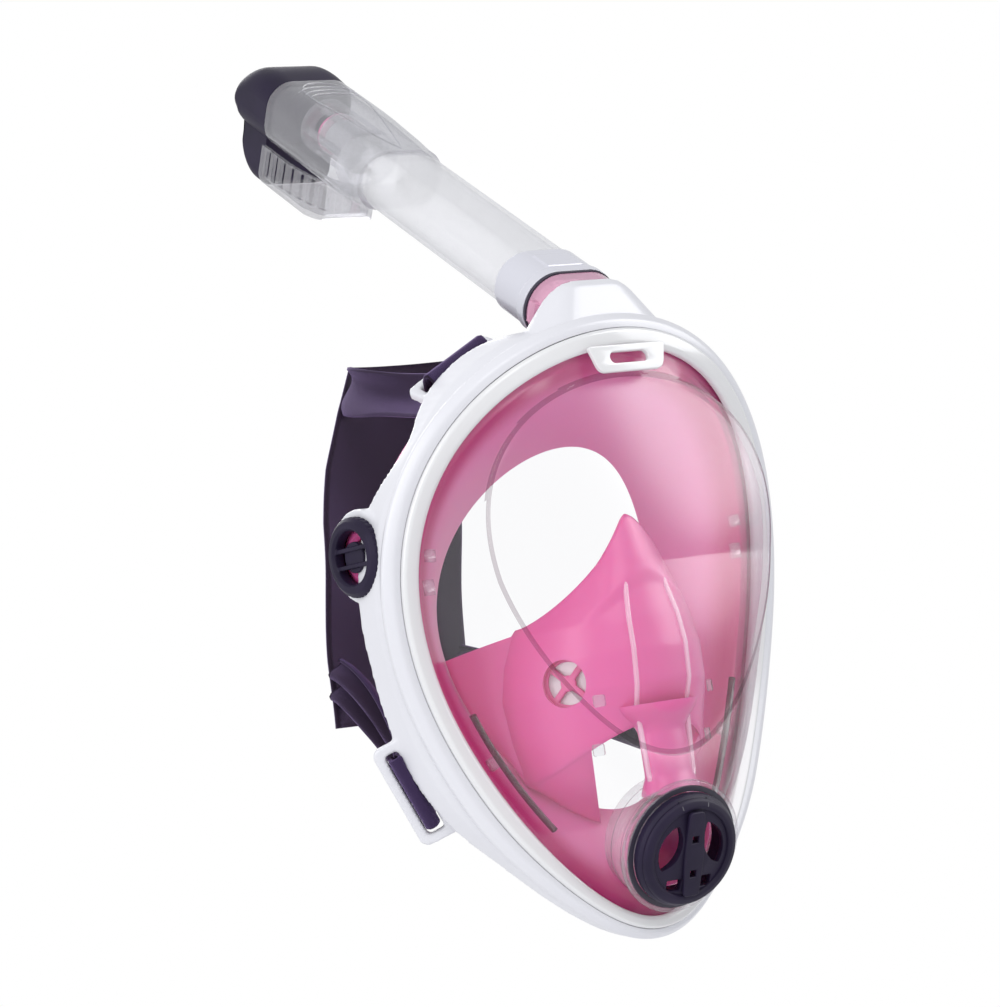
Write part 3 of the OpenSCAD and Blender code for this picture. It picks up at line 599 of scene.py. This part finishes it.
# The face seal: a soft roll behind the frame, seen where the frame's back edge dips
seal_rows = []
for i in range(240):
    a = 1.5 * i
    rear = frame_reach(a) - 2
    inner, outer = opening(a, 9.5, 12.5), at(a, 5.2, rear)
    path = [inner.lerp(outer, k / 10) + V((0, 5 * sin(180 * k / 10), 0)) for k in range(11)]
    ends = ((9.4, 2), (10, 5)) if dips(a) else ((5.6, 4), (5.6, 6))
    path += [at(a, out, rear - ahead) for out, ahead in ends]
    thick = [V((0, -1.5, 0)) - rim_out(a) * 0.8 * (k / len(path)) for k in range(len(path))]
    seal_rows.append(path + [p + d for p, d in zip(path[::-1], thick[::-1])])
v, f = grid(seal_rows)
seal = make("skirt_face_seal", v, f, "mask", SKIRT, 60)
paint(seal, lambda c: 0.25)
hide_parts("face_skirt")
bezel = sweep("bezel_ring", lambda a: [(0, -3.7), (-1.5, -2.7), (-1.5, -0.2), (5.2, -0.2),
                                        (5.2, 2), (6.5, 2), (6.5, -2.4), (5.2, -3.7)],
              "mask", BEZEL, r=[0.9, 0.9, 0.2, 0.2, 0.2, 0.2, 0.9, 0.9])
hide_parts("bezel")


def plate(name, outline, holes, thick, edge, place, body, mat):
    """A flat moulded plate with rounded edges, from outlines in mm."""
    cu = bpy.data.curves.new(name, "CURVE")
    cu.dimensions, cu.fill_mode = "2D", "BOTH"
    cu.extrude, cu.bevel_depth, cu.bevel_resolution = (thick / 2 - edge) * MM, edge * MM, 3
    for k, pts in enumerate([outline] + holes):
        sp = cu.splines.new("POLY")
        sp.points.add(len(pts) - 1)
        for p, q in zip(sp.points, pts):
            p.co = (q[0] * MM, q[1] * MM, 0, 1)
        sp.use_cyclic_u = True
    ob = bpy.data.objects.new(name, cu)
    bpy.context.scene.collection.objects.link(ob)
    deps = bpy.context.evaluated_depsgraph_get()
    me = bpy.data.meshes.new_from_object(ob.evaluated_get(deps))
    bpy.data.objects.remove(ob)
    bm = bmesh.new()
    bm.from_mesh(me)
    bmesh.ops.remove_doubles(bm, verts=bm.verts, dist=1e-6)
    scaled = Matrix.Scale(MM, 4) @ place @ Matrix.Scale(1 / MM, 4)
    bmesh.ops.transform(bm, matrix=scaled, verts=bm.verts)
    bm.to_mesh(me)
    bm.free()
    new = bpy.data.objects.new(name, me)
    bpy.context.scene.collection.objects.link(new)
    return dress(new, body, mat, 40)


def oval_outline(w, h, n=16):
    r, out = h / 2, []
    for s, start in ((1, -90), (-1, 90)):
        out += [V((s * (w / 2 - r) + r * cos(start + 180 * k / n), r * sin(start + 180 * k / n), 0))
                for k in range(n + 1)]
    return out


TAB_PLACE = (Matrix.Translation(V((0, -31, 113))) @ Matrix.Rotation(math.radians(82), 4, "X")
             @ Matrix.Translation(V((0, 0, 1.3))))
plate("bezel_tab", fillet([V((-18.6, 5, 0)), V((-15.4, -5.6, 0)), V((15.4, -5.6, 0)),
                                 V((18.6, 5, 0))], [1, 3, 3, 1], 6),
            [oval_outline(19.9, 5.8)[::-1]], 2.4, 0.5, TAB_PLACE, "mask", BEZEL)

# --- Lens ---------------------------------------------------------------------------------


def lens_rows(t, n):
    rows = [[at(360 * i / n, 5, 2 if t else 0) for i in range(n)]]
    wall = [0, 0.03, 0.06, 0.12, 0.2, 0.3, 0.4, 0.5, 0.6, 0.7, 0.8, 0.88, 0.94, 0.975]
    face = [0.985, 0.965, 0.94, 0.9, 0.84, 0.76, 0.68, 0.58, 0.48, 0.38, 0.28, 0.18, 0.09, 0.02]
    step = 0 if t else 1
    for f in wall:
        out = -0.9 * step * smooth((f - 0.02) / 0.04)
        rows.append([(at(a, -3 - t, 2) if t and f == 0 else wall_ring(a, f, t) + rim_out(a) * out * (1 - f))
                     for a in (360 * i / n for i in range(n))])
    ridge = []
    for i in range(n):
        a = 360 * i / n
        p, q, r = wall_ring(a, 0.975, t), face_ring(a, 1, t), face_ring(a, 0.985, t)
        bead = ((q - p).normalized() + (q - r).normalized()) * (0 if t else 0.45)
        ridge.append([p * 0.36 + q * 0.48 + r * 0.16 + bead, p * 0.16 + q * 0.48 + r * 0.36 + bead])
    for k in (0, 1):
        rows.append([ridge[i][k] for i in range(n)])
    for s in face:
        rows.append([face_ring(360 * i / n, s, t) for i in range(n)])
    return rows


N_LENS = 300
RIDGE_HALF = 1.5
outer, inner = lens_rows(0, N_LENS), lens_rows(LENS_WALL, N_LENS)
v, f = grid(outer[::-1] + inner, closed_u=False)
lens = make("lens", v, f, None, LENS)
cut = bpy.data.meshes.new("cut")
bmc = bmesh.new()
for rad, low, high in ((BARREL_R + 0.2, -45, 30), (BARREL_R + 2.4, -3.2, 31)):
    bmesh.ops.create_cone(bmc, cap_ends=True, segments=96, radius1=rad * MM, radius2=rad * MM,
                          depth=(high - low) * MM,
                          matrix=Matrix.Scale(MM, 4) @ CHIN_M @ Matrix.Scale(1 / MM, 4)
                          @ Matrix.Translation(V((0, 0, (high + low) / 2 * MM))))
bmc.to_mesh(cut)
bmc.free()
cutter = bpy.data.objects.new("cutter", cut)
bpy.context.scene.collection.objects.link(cutter)
bm = bmesh.new()
bm.from_mesh(lens.data)
bmesh.ops.recalc_face_normals(bm, faces=bm.faces)
bm.to_mesh(lens.data)
bm.free()
apply(lens, "BOOLEAN", operation="DIFFERENCE", solver="EXACT", object=cutter, use_self=True)
bpy.data.objects.remove(cutter)
dress(lens, "mask", LENS, 50)
# Faces within RIDGE_HALF of the ridge take the darker tint: painted shade for the ridge's refraction line
lens.data.materials.append(LENS_RIDGE_SHADE)
for p in lens.data.polygons:
    c = p.center / MM
    a = math.degrees(math.atan2(c.x / FACE_W, (c.z - FACE_MID) / FACE_H))
    best = min((face_ring(a + k * 0.5, 1) - c).length for k in range(-24, 25))
    if best < RIDGE_HALF:
        p.material_index = 1
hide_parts("lens")

# Small moulded clips inside the lens wall, and along each side a long dark-tinted rib: painted shade
# standing in for the shadowed gap by the rim
for k, (a, size) in enumerate(((292, 5), (285, 6.5), (246, 5), (68, 5), (75, 6.5), (114, 5))):
    p, o = at(a, -8.5, 1.5), rim_out(a)
    along = V((-o.z, 0, o.x))
    path = [(p + along * x, o, V((0, -1, 0))) for x in (-size / 2, size / 2)]
    arc_sweep(f"lens_clip_{k}", path, [(-2, -1.5), (2, -1.5), (2, 1.5), (-2, 1.5)], "mask", RIBS)
for name, start, end in (("lens_rib_right", 257, 227), ("lens_rib_left", 103, 133)):
    path = [(at(mix(start, end, i / 40), -9.5, -3), rim_out(mix(start, end, i / 40)), V((0, -1, 0)))
            for i in range(41)]
    arc_sweep(name, path, [(-1.1, -1.2), (1.1, -1.2), (1.1, 1.2), (-1.1, 1.2)], "mask", RIB_SHADE)

# --- Skirt --------------------------------------------------------------------------------
skirt_rows = []
N_SKIRT = 300
for i in range(N_SKIRT):
    a = 360 * i / N_SKIRT
    b, c = at(a, -4, 2.2), at(a, -4, 5.2)
    e, f2 = opening(a, 0, 0), opening(a, 1.5, 2)
    g, h = opening(a, 9, 12), opening(a, 10.5, 10.5)
    front = [b.lerp(e, k / 14) + V((0, -1.6 * sin(180 * k / 14), 0)) for k in range(14)]
    back = [c.lerp(f2, k / 14) + V((0, -1.6 * sin(180 * k / 14), 0)) for k in range(12, -1, -1)]
    lip = [e, e.lerp(g, 0.33) + V((0, -0.5, 0)), e.lerp(g, 0.7), g, g.lerp(h, 0.5) + V((0, 0.6, 0)), h,
           f2.lerp(h, 0.45), f2]
    skirt_rows.append([at(a, 5, 2.2)] + front + lip + back + [at(a, 5, 5.2)])
v, f = grid(skirt_rows)
skirt = make("skirt", v, f, "mask", SKIRT, 60)
# Painted shade: the skirt turns deeper pink within about 21 mm of its rim, in the corner where it meets the
# lens wall and bezel
SKIRT_RIM_SHADE = []
for i in range(N_SKIRT):
    row = skirt_rows[i]
    edge = at(360 * i / N_SKIRT, -4, 2.2)
    SKIRT_RIM_SHADE += [smooth(1 - ((p - edge).length - 4) / 17) for p in row]
att = skirt.data.attributes.new("deep", "FLOAT", "POINT")
att.data.foreach_set("value", SKIRT_RIM_SHADE)
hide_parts("face_skirt")

# --- Nose and mouth pocket ----------------------------------------------------------------


def pocket_point(a, v, t):
    s = smooth(abs(a) / 88)
    z = mix(mix(49, 8, s), mix(-36, -56, s), v)
    w, front, back = lookup(z, 1) - t, lookup(z, 2) + t, lookup(z, 3)
    return V((w * sin(a), front + (back - front) * (1 - cos(a)), z))


def bridge(a, v):
    """The raised step over the bridge of the nose."""
    return 1.8 * smooth((0.36 - v) / 0.1) * smooth((50 - abs(a)) / 24)


rows = []
NA, NV = 120, 56
for i in range(NA + 1):
    a = mix(-88, 88, i / NA)
    outside = [pocket_point(a, k / NV, -0.0 - bridge(a, k / NV)) for k in range(NV + 1)]
    inside = [pocket_point(a, k / NV, 2.0) for k in range(NV, -1, -1)]
    rim_top = [(outside[0] + inside[-1]) / 2 + V((0, 0, 0.9))]
    rim_low = [(outside[-1] + inside[0]) / 2 + V((0, 0, -0.9))]
    rows.append(outside + rim_low + inside + rim_top)
v, f = grid(rows, closed_u=False)
pocket = make("pocket", v, f, None, POCKET_PINK)
hole = bpy.data.meshes.new("hole")
bmc = bmesh.new()
for s in (-1, 1):
    bmesh.ops.create_cone(bmc, cap_ends=True, segments=64, radius1=10 * MM, radius2=10 * MM,
                          depth=28 * MM, matrix=Matrix.Scale(MM, 4) @ check_m(s) @ Matrix.Scale(1 / MM, 4))
bmc.to_mesh(hole)
bmc.free()
cutter = bpy.data.objects.new("cutter", hole)
bpy.context.scene.collection.objects.link(cutter)
bm = bmesh.new()
bm.from_mesh(pocket.data)
bmesh.ops.recalc_face_normals(bm, faces=bm.faces)
bm.to_mesh(pocket.data)
bm.free()
apply(pocket, "BOOLEAN", operation="DIFFERENCE", solver="EXACT", object=cutter)
bpy.data.objects.remove(cutter)
dress(pocket, "mask", POCKET_PINK, 60)
paint(pocket, lambda p: 0.25 * smooth((-30 - p.z) / 25))
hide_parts("oronasal_pocket")

def web_in(q):
    if q < 0.6:
        return pocket_point(87, 0.02 + 0.96 * q / 0.6, 1)
    return pocket_point(87 - 46 * (q - 0.6) / 0.4, 0.98, 1)


def web_out(q):
    a = mix(93, 165, q)
    return opening(a, 0, 0).lerp(at(a, -4, 2.2), 0.16) + V((0, -2.6, 0))


for s, n in ((-1, "right"), (1, "left")):
    grids = []
    for i in range(73):
        q = i / 72
        p, o = web_in(q), web_out(q)
        after, before = min(q + 0.01, 1), max(q - 0.01, 0)
        run = web_out(after) - web_out(before) + web_in(after) - web_in(before)
        nrm = (o - p).cross(run).normalized()
        line = [p.lerp(o, k / 12) - nrm * 1.5 * sin(180 * k / 12) for k in range(13)]
        thick = [0.95 - 0.25 * k / 12 for k in range(13)]
        pts = [c - nrm * h for c, h in zip(line, thick)] + [o + (o - p).normalized() * 0.6]
        pts += [c + nrm * h for c, h in zip(line[::-1], thick[::-1])]
        grids.append([flip(s, c) for c in pts])
    v, f = grid(grids, closed_u=False)
    web = make(f"pocket_web_{n}", v, f, "mask", POCKET_PINK, 60)
    paint(web, lambda c: 0.12)

# A whitish glossy bead down each side of the pocket: painted highlight along the pocket's silhouette, where
# it catches the light
for s, n in ((-1, "right"), (1, "left")):
    line = [(pocket_point(19 - 3 * k / 30, 0.02 + 0.9 * k / 30, -0.6), k) for k in range(31)]
    low = line[-1][0]
    line += [(low.lerp(V((11, -17, -62)), k / 8), 30 + k) for k in range(1, 9)]
    pts = [flip(s, p) for p, _ in line]
    path = []
    for i, p in enumerate(pts):
        run = (pts[min(i + 1, len(pts) - 1)] - pts[max(i - 1, 0)]).normalized()
        u = run.cross(V((0, -1, 0))).normalized()
        path.append((p, u, u.cross(run).normalized()))
    arc_sweep(f"pocket_ridge_highlight_{n}", path, [(-1.1, -0.9), (1.1, -0.9), (0.9, 0.9), (-0.9, 0.9)],
              "mask", RIDGE_HIGHLIGHT, 0.7, 4)

# The column from the pocket down to the chin drain, flaring where it meets each
col_rows = []
COL_TOP, COL_LOW = -30, -68
for k in range(25):
    z = mix(COL_TOP, COL_LOW, k / 24)
    r = 9.5 + 7 * smooth(1 - (COL_TOP - z) / 12) + 2.5 * smooth(1 - (z - COL_LOW) / 9)
    y = -14 - smooth((COL_TOP - z) / 20)
    col_rows.append([V((1.15 * r * cos(j * 7.5), y + r * sin(j * 7.5) * 0.8, z)) for j in range(48)])
col_rows += [[V((p.x * 0.8, -14 + (p.y + 14) * 0.8, p.z)) for p in r] for r in col_rows[::-1]]
v, f = grid(col_rows)
column = make("pocket_column", v, f, "mask", POCKET_PINK, 60)
paint(column, lambda p: 0.1)

for s, n in ((-1, "right"), (1, "left")):
    ob = copy_node(f"check_seat_{n}", f"check_valve_seat_{n}", "mask", VALVE, 0.28, 3)
    paint(ob, lambda p: 0.15)

# --- Valve covers -------------------------------------------------------------------------
copy_node("chin_cover", "chin_valve_cover", "chin_cover", DARK, 0.32, 4)
for n in ("left", "right"):
    copy_node(f"side_cover_{n}", f"side_valve_cover_{n}", f"side_cover_{n}", DARK, 0.28, 3)
lathe("chin_cover_rim", [(18.4, 6), (19, 7.2), (20.4, 7.4), (22.6, 6.6), (23.6, 5.2), (22, 4.6), (18.8, 5)],
      CHIN_M, "chin_cover", DARK, r=0.5)
spine = fillet([V((-3.4, -18, 0)), V((3.4, -18, 0)), V((4.6, 0, 0)), V((3.2, 18, 0)), V((-3.2, 18, 0)),
                V((-4.6, 0, 0))], [1.5, 1.5, 6, 1.5, 1.5, 6], 4)
SLOTS = [[V((2 * x, y + 2 * z, 0)) for x, z in ((-1, -1), (-1, 1), (1, 1), (1, -1))] for y in (6.5, -8.5)]
plate("chin_cover_spine", spine, SLOTS, 1.8, 0.5,
      CHIN_M @ Matrix.Translation(V((0, 0, 8.3))), "chin_cover", DARK)
for k, x in enumerate((-6.2, 6.2)):
    path = [(CHIN_M @ V((x + (0.7 if x > 0 else -0.7) * t, 19.6 + 3.2 * t, 7.2 - 2.6 * t * t)),
             (CHIN_M.to_3x3() @ V((1, 0, 0))), (CHIN_M.to_3x3() @ V((0, 0, 1)))) for t in (0, 0.5, 1)]
    arc_sweep(f"chin_cover_seam_{k}", path, [(-0.25, -0.3), (0.25, -0.3), (0.25, 0.25), (-0.25, 0.25)],
              "chin_cover", SEAL, 0.1)
for s, n in ((-1, "right"), (1, "left")):
    skin = lathe(f"side_membrane_{n}", [(7.4, -2.4), (10, -1.3), (13.2, -2), (13.2, -3),
                                        (10, -2.3), (7.4, -3.2)],
                 dial_m(s), "mask", VALVE, r=0.3)
    paint(skin, lambda c: 0.1)
barrel = lathe("chin_barrel", [(21, -0.2), (24.4, -0.2), (24.4, -1.5), (26.9, -1.5), (26.9, -0.2),
                               (28.7, -0.2), (28.7, -3), (26.5, -3.4), (26.5, -7), (25.6, -7.6),
                               (25.6, -9.4), (26.5, -10), (26.5, -14), (25.4, -14.6), (25.4, -20),
                               (21, -20)],
               CHIN_M, "mask", RIBS, r=0.3)
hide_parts("chin_valve_housing")

# --- Snorkel ------------------------------------------------------------------------------
copy_node("collar", "tube_collar", "snorkel", COLLAR, 0.45, 3)
copy_node("connector_ring", "snorkel_connector", "snorkel", PINKISH, 0.4, 3)
ROLL_END = 0.35


def pillow(name, outline, width, edge, bend, mat):
    """A block across the tube: its side outline [along, up], every side edge rolled over."""
    side = fillet([V((p[0], p[1], 0)) for p in outline], bend, 8)
    n = len(side)
    turn = sum(a.x * b.y - b.x * a.y for a, b in zip(side, side[1:] + side[:1]))
    sign = 1 if turn > 0 else -1
    norms = []
    for i in range(n):
        d = (side[(i + 1) % n] - side[i - 1]).normalized()
        norms.append(V((-d.y, d.x, 0)) * sign)
    start = min(p[0] for p in outline)
    rows, half = [], width / 2
    for k in range(-14, 15):
        turned = 90 * max(abs(k) - 4, 0) / 10
        x = (half - edge) * min(abs(k), 4) / 4 + edge * sin(turned)
        inset = edge * (1 - cos(turned)) * 0.96
        row = []
        for p, q in zip(side, norms):
            lean = q.copy()
            if p.x < start + 0.9:
                lean = V((0, 1 if q.y > 0 else -1, 0))
            row.append(TUBE_M @ V(((x if k >= 0 else -x), -(p.y + lean.y * inset),
                                   p.x + lean.x * inset * ROLL_END)))
        rows.append(row)
    v, f = grid(rows, closed_u=False)
    return make(name, v, f, "snorkel", mat, 50)


visor = pillow("visor_cap", [(245.2, -15.5), (245.2, 15.9), (257, 17), (268.5, 15.5), (277, 9.5),
                             (280.4, 0), (279, -9), (272.5, -15.5)], 46, 12,
               [0.4, 0.8, 14, 14, 14, 14, 10, 3], DARK)
block = pillow("visor_block", [(248.7, -37.5), (248.7, -6), (273.2, -6), (273, -25.5),
                               (267.5, -33.5), (260.5, -37.5)], 37, 6, [1, 0.4, 1, 8, 8, 6], DARK)
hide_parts("dry_top_cap")
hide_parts("dry_top_cap")


def tube_rows(sections):
    return [[TUBE_M @ V((p.x, p.y, s)) for p in shape] for s, shape in sections]


def oval_at(w, h, n=48):
    out, r = [], h / 2
    for k in range(2 * n):
        a = 180 * k / n
        x, y = cos(a), sin(a)
        out.append(V((r * x + (w / 2 - r) * (1 if x >= 0 else -1) * min(1, abs(x) * 6), r * y, 0)))
    return out


wall_out = [(s, oval_at(TUBE_W, TUBE_H)) for s in (TUBE_START, 60, 120, TUBE_END)]
bore = oval_at(TUBE_W - 2 * TUBE_WALL, TUBE_H - 2 * TUBE_WALL)
wall_in = [(s, bore) for s in (TUBE_END, 120, 60, TUBE_START)]
v, f = grid(tube_rows(wall_out + wall_in))
tube = make("tube", v, f, "snorkel", TUBE, 50)
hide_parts("snorkel_tube")


def top_section(w, high, low, r, n=10):
    """Rounded section of the dry top: x across, -y up."""
    pts = []
    for cx, cy, start in ((w / 2 - r, -(high - r), -90), (w / 2 - r, -(low + r), 0),
                          (-(w / 2 - r), -(low + r), 90), (-(w / 2 - r), -(high - r), 180)):
        for k in range(n + 1):
            a = start + 90 * k / n
            pts.append(V((cx + r * cos(a), cy + r * sin(a), 0)))
    return pts


def housing_section(s, t):
    f = smooth((s - SLEEVE_START) / (CHAMBER_START + 12 - SLEEVE_START))
    g = smooth((s - CHAMBER_START) / 45)
    w = mix(TUBE_W + 2.6, TOP_W, f) - 2 * t
    high = mix(TUBE_H / 2 + 1.3, TOP_HIGH, g) - t
    low = mix(-TUBE_H / 2 - 1.3, TOP_LOW, f) + t
    return top_section(w, high, low, mix(13.4, 12.5, f) - t)


stations = [SLEEVE_START + k for k in (0, 0.6, 3, 6, 9, 12, 16, 20)] + [185, 195, 205, 215, 230, CHAMBER_END]
out_rows = [(s, housing_section(s, 0)) for s in stations]
in_rows = [(s, housing_section(s, 1.9)) for s in stations[::-1]]
v, f = grid(tube_rows(out_rows + in_rows))
housing = make("housing", v, f, "snorkel", CLEAR, 40)
# the floor of the chamber is open above the basket, with the basket's rounded free end
HATCH_HALF, HATCH_MID, HATCH_NOSE, HATCH_DEEP = 17.5, 231, 42, (10, 26)
plan = [(HATCH_HALF * cos(t), HATCH_MID - HATCH_NOSE * sin(t)) for t in range(0, 181, 5)]
plan += [(-HATCH_HALF, CHAMBER_END + 5), (HATCH_HALF, CHAMBER_END + 5)]
count = len(plan)
hatch_v = [TUBE_M @ V((x, y, along)) * MM for y in HATCH_DEEP for x, along in plan]
hatch_f = [(i, (i + 1) % count, (i + 1) % count + count, i + count) for i in range(count)]
hatch_f += [tuple(range(count))[::-1], tuple(range(count, 2 * count))]
hatch = bpy.data.meshes.new("hatch")
hatch.from_pydata([tuple(q) for q in hatch_v], [], hatch_f)
for mesh in (hatch, housing.data):
    bm = bmesh.new()
    bm.from_mesh(mesh)
    bmesh.ops.recalc_face_normals(bm, faces=bm.faces)
    bm.to_mesh(mesh)
    bm.free()
cutter = bpy.data.objects.new("cutter", hatch)
bpy.context.scene.collection.objects.link(cutter)
apply(housing, "BOOLEAN", operation="DIFFERENCE", solver="EXACT", object=cutter)
bpy.data.objects.remove(cutter)
dress(housing, "snorkel", CLEAR, 40)
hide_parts("dry_top_housing")
TOP_ROUND = 12.5


def on_top(s, x, lift=0.0):
    """A point on the outside of the housing, s along the tube and x across its top."""
    half, r = TOP_W / 2, TOP_ROUND
    g = smooth((s - CHAMBER_START) / 45)
    high = mix(TUBE_H / 2 + 1.3, TOP_HIGH, g)
    over = max(abs(x) - (half - r), 0)
    drop = r - math.sqrt(max(r * r - over * over, 0))
    return TUBE_M @ V((x, -(high - drop + lift), s))


def bead(name, pts, r, body, mat, closed):
    path, n = [], len(pts)
    for i, p in enumerate(pts):
        a, b = (pts[i - 1], pts[(i + 1) % n]) if closed else (pts[max(i - 1, 0)], pts[min(i + 1, n - 1)])
        run = (b - a).normalized()
        u = run.cross(TUBE_M.to_3x3() @ V((0, -1, 0))).normalized()
        path.append([p + u * r * cos(60 * k) + u.cross(run) * r * sin(60 * k) for k in range(6)])
    v, f = grid(path, closed_u=closed)
    return make(name, v, f, body, mat)


FACET_TIP, FACET_END, FACET_HALF = 160, 241, 17.5
facet = []
for i in range(90):
    t = 360 * i / 90
    along = (1 - cos(t)) / 2
    wide = FACET_HALF * (along ** 0.8) * (1 - along ** 7) ** 0.5
    facet.append(on_top(mix(FACET_TIP, FACET_END, along), wide if t < 180 else -wide, 0.1))
bead("housing_facet", facet, 0.35, "snorkel", CLEAR, True)
for k, (start, reach) in enumerate(((236, 15), (231.5, 14), (227, 12.5))):
    arc = [on_top(start - 7 * (x / 18) ** 2, x, 0.1) for x in (reach * (j / 10 - 1) for j in range(21))]
    bead(f"housing_arc_{k}", arc, 0.3, "snorkel", CLEAR, False)

NODES["intake_grille"].data.materials.clear()
NODES["intake_grille"].data.materials.append(RIBS)
for name, mat in (("pocket_clips", RIBS), ("check_valve_flap_left", FLAP), ("check_valve_flap_right", FLAP),
                  ("chin_valve_seat", VALVE), ("chin_valve_flap", VALVE), ("chin_valve_seal", SEAL),
                  ("side_valve_seat_left", VALVE), ("side_valve_seat_right", VALVE),
                  ("side_valve_flap_left", VALVE), ("side_valve_flap_right", VALVE),
                  ("connector_seal", SEAL), ("release_latch_left", PINKISH),
                  ("release_latch_right", PINKISH), ("tube_divider", TUBE), ("float", FLOAT),
                  ("float_seal", VALVE), ("float_seat", CLEAR)):
    me = NODES[name].data
    me.materials.clear()
    me.materials.append(mat)

# --- Strap --------------------------------------------------------------------------------


def panel_edge(z, k):
    rows = sorted((r[0], r[k]) for r in PANEL)
    z = min(max(z, rows[0][0]), rows[-1][0])
    for (z0, v0), (z1, v1) in zip(rows, rows[1:]):
        if z0 <= z <= z1:
            return mix(v0, v1, (z - z0) / (z1 - z0))


def panel_y(x): return 138 - 25 * (x / 80) ** 2


def cloth(name, points, normals, thick, body, mat, width, length, back_mat=None):
    """A closed thin sheet from a grid of points, with rounded edges and weave coordinates."""
    n, m = len(points), len(points[0])
    rows = []
    for i in range(n):
        up_side = [points[i][j] + normals[i][j] * thick / 2 for j in range(m)]
        low_side = [points[i][j] - normals[i][j] * thick / 2 for j in range(m - 1, -1, -1)]
        e1 = points[i][m - 1] + (points[i][m - 1] - points[i][m - 2]).normalized() * thick * 0.35
        e0 = points[i][0] + (points[i][0] - points[i][1]).normalized() * thick * 0.35
        rows.append(up_side + [e1] + low_side + [e0])
    v, f = grid(rows, closed_u=False)
    ob = make(name, v, f, body, mat)
    if back_mat:
        ob.data.materials.append(back_mat)
        for p in ob.data.polygons:
            j = p.index % (2 * m + 2)
            if p.index < (n - 1) * (2 * m + 2) and m < j < 2 * m + 1:
                p.material_index = 1
    uv = ob.data.uv_layers.new(name="weave")
    for p in ob.data.polygons:
        for li in p.loop_indices:
            vi = ob.data.loops[li].vertex_index
            i, j = divmod(vi, 2 * m + 2)
            across = j if j < m else (m if j == m else 2 * m + 1 - j)
            uv.data[li].uv = (across / (m - 1) * width * MM * 3, i / (n - 1) * length * MM * 3)
    return ob


def normals_of(points):
    n, m = len(points), len(points[0])
    out = []
    for i in range(n):
        row = []
        for j in range(m):
            du = points[min(i + 1, n - 1)][j] - points[max(i - 1, 0)][j]
            dv = points[i][min(j + 1, m - 1)] - points[i][max(j - 1, 0)]
            row.append(du.cross(dv).normalized())
        out.append(row)
    return out


pts = []
for i in range(61):
    z = mix(-20, 140, i / 60)
    l, r = panel_edge(z, 1), panel_edge(z, 2)
    row = []
    for j in range(41):
        x = mix(l, r, j / 40)
        ripple = 1.1 * math.sin(z * 0.09 + j * 0.12) * (0.4 + 0.6 * abs(j / 20 - 1))
        row.append(V((x, panel_y(x) + 1.2 + ripple, z)))
    pts.append(row)
panel = cloth("strap_panel", pts, normals_of(pts), STRAP_T - 0.2, "mask", STRAP, 80, 160)
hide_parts("strap_back_panel")

LUG_ARC, LUG_OUT, LUG_FAR, LUG_LEAN = (24, 112), (12, 16), (39, 27), (30, 50)


def bez(a, b, c, d, f):
    return a * (1 - f) ** 3 + b * 3 * f * (1 - f) ** 2 + c * 3 * f * f * (1 - f) + d * f ** 3


# The roll through a top slot is larger than through a low one: (across the slot, through it)
ROLL_SIZE = ((1.5, 1.7), (1, 1))


def tail_path(s, k, end, steps=48):
    """Middle line of a tail: rolled through its slot, then back to the panel."""
    n = rim_out(LUG_ARC[k])
    g = n * sin(LUG_LEAN[k]) + V((0, cos(LUG_LEAN[k]), 0))
    along = V((n.z, 0, -n.x))
    face = along.cross(g)
    t, f, g = flip(s, along), flip(s, face), flip(s, g)
    o = flip(s, at(LUG_ARC[k], LUG_OUT[k], LUG_FAR[k]))
    back = o - f * 8 + g * 1
    if k:
        ahead, toward = back - f * 12 - g * 2, end + V((s * 3, -26, -6))
    else:
        ahead, toward = back - f * 16 + g * 8, end + V((s * 18, -14, 0))
    down = V((0, 0, -1))
    loop = ((2.6, -4), (2.7, -1), (2.4, 2), (1.4, 3.8), (0, 4.4), (-1.5, 3.6), (-2.2, 1.4),
            (-1.9, -2), (-0.6, -5))
    thick, tall = ROLL_SIZE[k]
    path = [(o + g * u * thick + f * w * tall, t) for u, w in loop]
    for i in range(steps + 1):
        q = i / steps
        path.append((bez(back, ahead, toward, end, q), t.lerp(down, smooth(q))))
    return path, len(loop)


def tail(name, s, k, node_name):
    z = 140 - STRAP_W / 2 - 1 if k == 0 else -20 + STRAP_W / 2 + 1
    x = panel_edge(140 if k == 0 else -20, 1 if s < 0 else 2) + s * (4 if k == 0 and s < 0 else -3)
    squeeze = TAIL_GATHER[k]
    z += (1 - squeeze) * STRAP_W / 2 * (1 if k == 0 else 0.2)
    path, first = tail_path(s, k, V((x, panel_y(x) - STRAP_T / 2 - 0.4, z)))
    pts, m = [], 24
    length = 0
    for i, (p, d) in enumerate(path):
        a, b = path[max(i - 1, 0)][0], path[min(i + 1, len(path) - 1)][0]
        run = (b - a).normalized()
        w = (d - run * d.dot(run)).normalized()
        n = run.cross(w).normalized()
        if i:
            length += (p - path[i - 1][0]).length
        fold = smooth((i - first) / 26)
        wide = STRAP_W * mix(0.96, squeeze, fold)
        deep = 3.4 * fold * (1 - squeeze) * 2 + 0.5 * smooth((i - first) / 10)
        row = []
        for j in range(m + 1):
            u = j / m
            wave = math.sin(u * 6.283 * FOLDS[k] + 0.9 + i * 0.05) * deep
            row.append(p + w * wide * (u - 0.5) + n * wave)
        pts.append(row)
    ob = cloth(name, pts, normals_of(pts), STRAP_T - 0.5, "mask", STRAP, STRAP_W, length, STRAP_IN)
    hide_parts(node_name)
    return ob, length


TAIL_GATHER, FOLDS = (0.6, 0.62), (0.8, 2.2)
for s, k, name in ((1, 0, "top_left"), (-1, 0, "top_right"), (1, 1, "bottom_left"), (-1, 1, "bottom_right")):
    ob, length = tail(f"strap_{name}", s, k, f"strap_tail_{name}")
    print("tail", name, round(length, 1))
